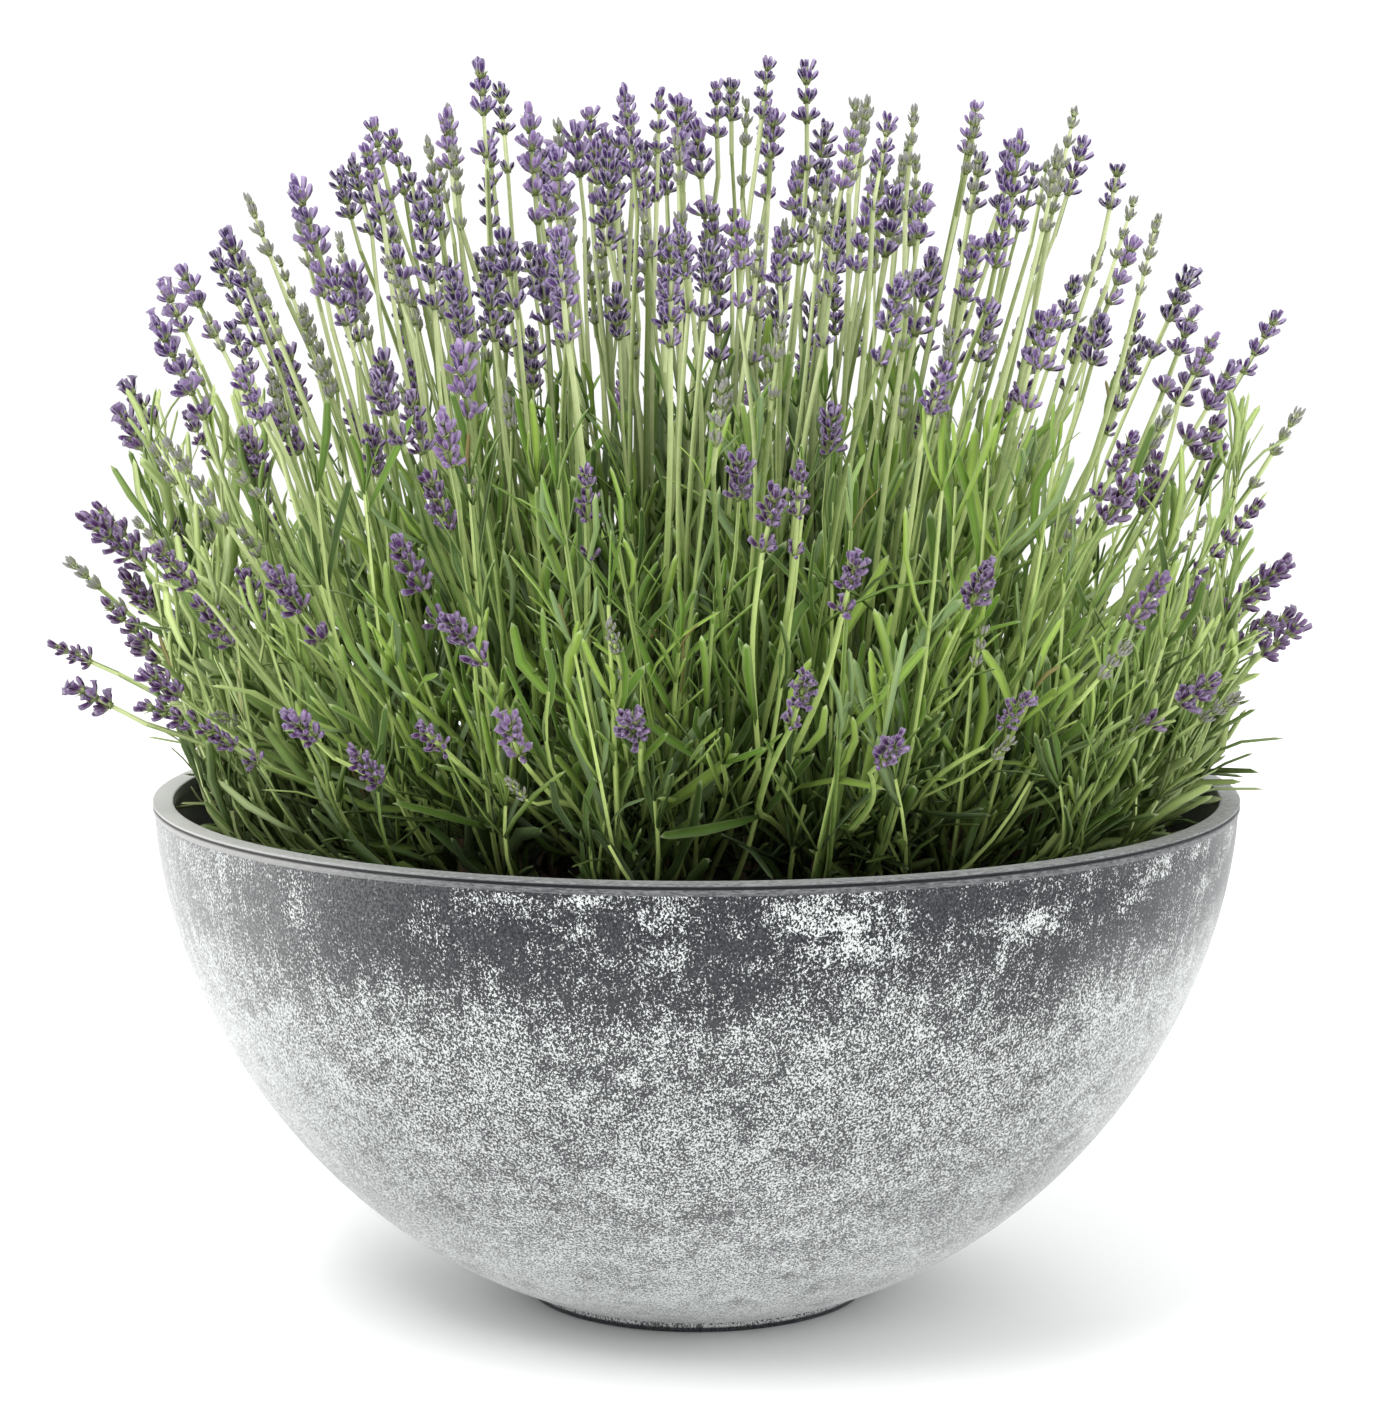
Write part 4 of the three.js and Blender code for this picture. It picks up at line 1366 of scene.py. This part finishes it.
def add_side_head(path, flowers, bracts, paths, chance):
    """A small late head on a thin stem of its own, that leaves the main stem partway up."""
    fork, way = path_place(path, chance.between(*SIDE_FORK))
    side = outward(way, chance.angle())
    base = path_place(path, chance.between(*SIDE_BASE))[0] + side * chance.between(*SIDE_REACH)
    kind = SIDE_YOUNG if chance.next() < SIDE_YOUNG_SHARE else SIDE_FLOWERING
    age, lengths, scales, form = kind
    length = chance.between(*lengths)
    tip = base + (way + side * chance.between(-0.05, 0.25)).normalized() * length
    middle = fork.lerp(base, 0.55) + side * 0.0015
    paths.add([fork, middle, base, base.lerp(tip, 0.8)], [0.0006, 0.0006, 0.0005, 0.0004], chance.next())
    scale = FLOWER_LENGTH * chance.between(*scales)
    add_whorls(base, tip, form, scale, age, chance.between(0.0, 0.5), flowers, bracts, chance)


print("side heads on a share of", SIDE_SHARES, "of the stems")

# %% [markdown]
# Leafy shoots make the green mass between the stems. Leaves stand in pairs, each pair a quarter turn
# from the one below, with a tuft at the end. Near the rim a leaf that would run into the wall or the
# soil is left out, as it would have been bent aside. On the right leaves may reach out over the lip.

# %% Where a leaf has room
WALL_CLEARANCE = 0.172
LEAF_BOUND = 0.192
LOW_BOUND = 0.177
RIGHT_BOUND = 0.187
RIGHT_START = 0.1
BOUND_SLOPE = 0.2
ABOVE_SOIL = 0.003
ABOVE_RIM = 0.002
DRY_LENGTH = 0.018
DRY_SHARE = 0.03


def leaf_fits(root, direction, length):
    """True where a leaf stays above the soil, clear of the wall and inside the crown."""
    low_bound = RIGHT_BOUND if root.x > RIGHT_START else LOW_BOUND
    for share in (0.35, 0.7, 1.0):
        point = root + direction * length * share
        radius = math.hypot(point.x, point.y)
        bound = min(LEAF_BOUND, low_bound + BOUND_SLOPE * max(point.z - BOWL_HEIGHT, 0))
        if point.z < SOIL_HEIGHT + ABOVE_SOIL or radius > bound:
            return False
        if radius > WALL_CLEARANCE and point.z < BOWL_HEIGHT + ABOVE_RIM:
            return False
    return True


def add_leaf(leaves, root, way, angle, spread, length, width, chance, tint):
    """A leaf at an angle round its stem that spreads away from it."""
    out = outward(way, angle)
    direction = way * math.cos(spread) + out * math.sin(spread)
    side = way - out * 0.2 + out.cross(way) * chance.between(-0.7, 0.7)
    bend = int(chance.next() * len(LEAF_BENDS))
    colour = min(max(tint + chance.between(-0.32, 0.32), 0), 1)
    dry = 1.0 if length < DRY_LENGTH and chance.next() < DRY_SHARE else 0.0
    if leaf_fits(root, direction, length):
        leaves.add(root, direction, side, (width, length, length), bend, colour, dry)


print("leaves stay within", LEAF_BOUND, "m of the middle")

# %% Leaves on shoots and stems
LEAFY_LEAN = 0.69
LEAFY_LENGTHS = (0.07, 0.17)
LEAFY_WANDER = 0.005
SHOOT_POINTS = 10
SHOOT_WIDTHS = (0.0011, 0.0006)
SPARSE_SHARE = 0.7
# Each kind: the range of steps between leaf pairs and the range of leaf lengths.
SPARSE_LEAVES = ((0.019, 0.032), (0.022, 0.042))
CLOSE_LEAVES = ((0.009, 0.014), (0.016, 0.034))
PAIR_SPREADS = (38, 20)
LEAF_WIDTHS = (0.065, 0.13)
WIDEST_LEAF = 0.0043
SMALL_LEAF_SHARE = 0.32
SMALL_LEAF_WIDTH = 0.0019
STEM_LEAF_REACH = 0.55


def dress_shoot(path, turn, leaves, paths, chance, bare=1.0):
    """Leaf pairs along a path: close together on some shoots, far apart on others."""
    count = len(path) - 1
    length = sum((path[i + 1] - path[i]).length for i in range(count))
    steps, sizes = SPARSE_LEAVES if chance.next() < SPARSE_SHARE else CLOSE_LEAVES
    step = bare * chance.between(*steps)
    paths.add(path, [mix(*SHOOT_WIDTHS, i / count) for i in range(count + 1)], chance.between(0.3, 1.0))
    tint = chance.next()
    reach = step * chance.between(0.6, 1.2)
    while reach < length:
        share = reach / length
        point, way = path_place(path, share)
        turn += math.pi / 2 + chance.between(-0.35, 0.35)
        for k in range(2):
            angle = turn + math.pi * k
            spread = math.radians(mix(*PAIR_SPREADS, share) + chance.between(-16, 12))
            size = chance.between(*sizes)
            width = min(size * chance.between(*LEAF_WIDTHS), WIDEST_LEAF)
            add_leaf(leaves, point, way, angle, spread, size, width, chance, tint)
            if chance.next() < SMALL_LEAF_SHARE:
                near = angle + chance.between(0.4, 0.9)
                size = chance.between(0.008, 0.018)
                add_leaf(leaves, point, way, near, spread * 0.7, size, SMALL_LEAF_WIDTH, chance, tint)
        reach += step
    for k in range(4):
        spread = math.radians(chance.between(4, 24))
        size = chance.between(0.012, 0.028)
        add_leaf(leaves, path[-1], way, turn + k * math.pi / 2, spread, size, size * 0.1, chance, tint)


def add_leafy_shoot(spray, shoot, leaves, paths, chance):
    """A shoot with no flower."""
    length = mix(*LEAFY_LENGTHS, shoot["vigour"]) * (1 - 0.4 * min(shoot["place"], 1) ** 3)
    path = shoot_path(spray, shoot, length, SHOOT_POINTS, chance, LEAFY_WANDER, LEAFY_LEAN)
    dress_shoot(path, shoot["twist"], leaves, paths, chance)


def add_stem_leaves(path, length, leaves, chance):
    """The pairs of narrow leaves on the lower half of a flower stem."""
    turn = chance.angle()
    tint = chance.next()
    t = chance.between(0.012, 0.03)
    while t < length * STEM_LEAF_REACH:
        point, way = path_place(path, t / length)
        turn += math.pi / 2
        for k in range(2):
            spread = math.radians(chance.between(8, 40))
            size = chance.between(0.022, 0.048)
            width = size * chance.between(0.065, 0.1)
            add_leaf(leaves, point, way, turn + math.pi * k, spread, size, width, chance, tint)
        t += chance.between(0.022, 0.04)


print("sparse shoots:", SPARSE_SHARE, "of all")

# %% [markdown]
# Round the edge short shoots creep out over the soil and then rise by the wall, and old leaves stay at
# every foot, given the darkest tint as painted shade. The shoots could be set by hand, but a path bent
# between three points, foot, bend and top, draws them all. They differ from side to side: on the right
# they are most in number, stand close to the wall and are seldom tall.

# %% Low growth round the rim and the feet
RIM_PLACE = 0.72
SIDE_FOOT = 0.08
# Each side: shoots on a spray, the nearest radius at which they rise and the share of tall ones.
RIM_SITES = {"left": (12, 0.15, 0.35), "middle": (9, 0.13, 0.35), "right": (16, 0.157, 0.175)}
RIM_OUTER = 0.17
# Low and tall shoots: the range of heights, how far they flare outwards and how bare they are.
RIM_LOW = ((0.025, 0.09), 0.25, 1.25)
RIM_TALL = ((0.09, 0.15), 0.12, 1.8)
FREE_RISE = 0.03
FOOT_LEAVES = 12
FOOT_WIDTH = 0.003
# The foot leaves get the darkest tint, as painted shade under the plant.
FOOT_SHADE_TINT = 0.05


def add_rim_shoots(spray, leaves, paths, chance):
    """Low shoots that run out over the soil from an outer spray's foot and then rise by the wall."""
    foot = grown(spray["u"], spray["v"], 0.0)
    shoots, inner, tall_share = RIM_SITES[side_of(foot.x, SIDE_FOOT)]
    for _ in range(shoots):
        angle = math.atan2(spray["v"], spray["u"]) + chance.between(-0.22, 0.22)
        radius = chance.between(inner, RIM_OUTER)
        turn = angle + chance.between(-0.14, 0.14)
        rises, flare, bare = RIM_TALL if chance.next() < tall_share else RIM_LOW
        rise = chance.between(*rises)
        lean = 0.4 * rise * chance.next()
        bend = level(angle, radius, SOIL_HEIGHT - 0.002)
        reach = min(radius + lean, RIM_OUTER + max(rise - FREE_RISE, 0) * flare)
        top = level(turn, reach, SOIL_HEIGHT + rise)
        path = []
        for i in range(SHOOT_POINTS):
            share = i / (SHOOT_POINTS - 1)
            path.append(foot.lerp(bend, share).lerp(bend.lerp(top, share), share))
        dress_shoot(path, chance.angle(), leaves, paths, chance, bare)


def add_foot_leaves(spray, leaves, chance):
    """Old leaves round a spray's woody foot, given the darkest tint as painted shade."""
    upright = Vector((0, 0, 1))
    for i in range(FOOT_LEAVES):
        point = grown(spray["u"], spray["v"], chance.between(0.002, 0.03))
        turn = WHORL_TURN * i
        spread = math.radians(chance.between(30, 80))
        size = chance.between(0.018, 0.034)
        add_leaf(leaves, point, upright, turn, spread, size, FOOT_WIDTH, chance, FOOT_SHADE_TINT)


print("rim shoots on each outer spray:", RIM_SITES)

# %% [markdown]
# ## The sprays
# Each spray of the measured model is now grown in full: its woody foot, its stems, its leaves and its
# heads, joined into one piece that stands for that spray.

# %% Grow every spray
# The foot from below the soil upwards: the length reached and the half width there.
WOOD = ((-0.016, 0.0034), (-0.004, 0.0035), (0.004, 0.0035), (0.012, 0.0032), (0.022, 0.0026), (0.03, 0.0012))
STEM_WIDTHS = [mix(STEM_WIDE, STEM_NARROW, i / (STEM_POINTS - 1)) for i in range(STEM_POINTS)]

totals = {"leaves": 0, "flowers": 0, "triangles": 0}
for number, spray in enumerate(sprays, 1):
    chance = Draws(1000 + number)
    name = f"lavender_spray_{number:02d}"
    stems, wood = Paths(), Paths()
    leaves, flowers, bracts = Places(), Places(), Places()
    wood.add([grown(spray["u"], spray["v"], t) for t, _ in WOOD], [width for _, width in WOOD], 0.5)
    for shoot in spray["stems"]:
        length = head_span(spray, shoot)[0]
        path = shoot_path(spray, shoot, length, STEM_POINTS, chance, WANDER)
        stem_tint = chance.next()
        stems.add(path, STEM_WIDTHS, stem_tint)
        add_stem_leaves(path, length, leaves, chance)
        add_head(spray, shoot, flowers, bracts, stems, chance, stem_tint)
        if chance.next() < side_share(spray):
            add_side_head(path, flowers, bracts, stems, chance)
    for shoot in spray["leafy"]:
        add_leafy_shoot(spray, shoot, leaves, stems, chance)
    add_foot_leaves(spray, leaves, chance)
    if spray["place"] > RIM_PLACE:
        add_rim_shoots(spray, leaves, stems, chance)
    mesh = joined(name, [
        stems.mesh(name, stem_finish, 4),
        wood.mesh(name, wood_finish, 7),
        leaves.mesh(name, leaf_shapes, leaf_finish),
        flowers.mesh(name, flower_shapes, flower_finish),
        bracts.mesh(name, bract_shapes, bract_finish),
    ])
    placed_piece(name, mesh, f"spray_{number:02d}")
    totals["leaves"] += len(leaves.points)
    totals["flowers"] += len(flowers.points)
    totals["triangles"] += sum(len(face.vertices) - 2 for face in mesh.polygons)
print("sprays grown:", totals)

# %% [markdown]
# ## The floor
# The plant stands on a plain pale floor, which only catches its shadow.

# %% Floor
FLOOR_REACH = 8
FLOOR_GREYS = ((0.94, 0.94, 0.94), (0.97, 0.97, 0.97))

floor_mesh = bpy.data.meshes.new("floor")
floor_corners = [(FLOOR_REACH * x, FLOOR_REACH * y, 0) for x, y in ((-1, -1), (1, -1), (1, 1), (-1, 1))]
floor_mesh.from_pydata(floor_corners, [], [(0, 1, 2, 3)])
floor_finish, tree, shader = new_finish("pale floor", 0.9)
painted(tree, shader, blend(tree, noise(tree, object_place(tree), 3), *FLOOR_GREYS))
floor_mesh.materials.append(floor_finish)
floor = bpy.data.objects.new("floor", floor_mesh)
bpy.context.scene.collection.objects.link(floor)
print("floor ready")
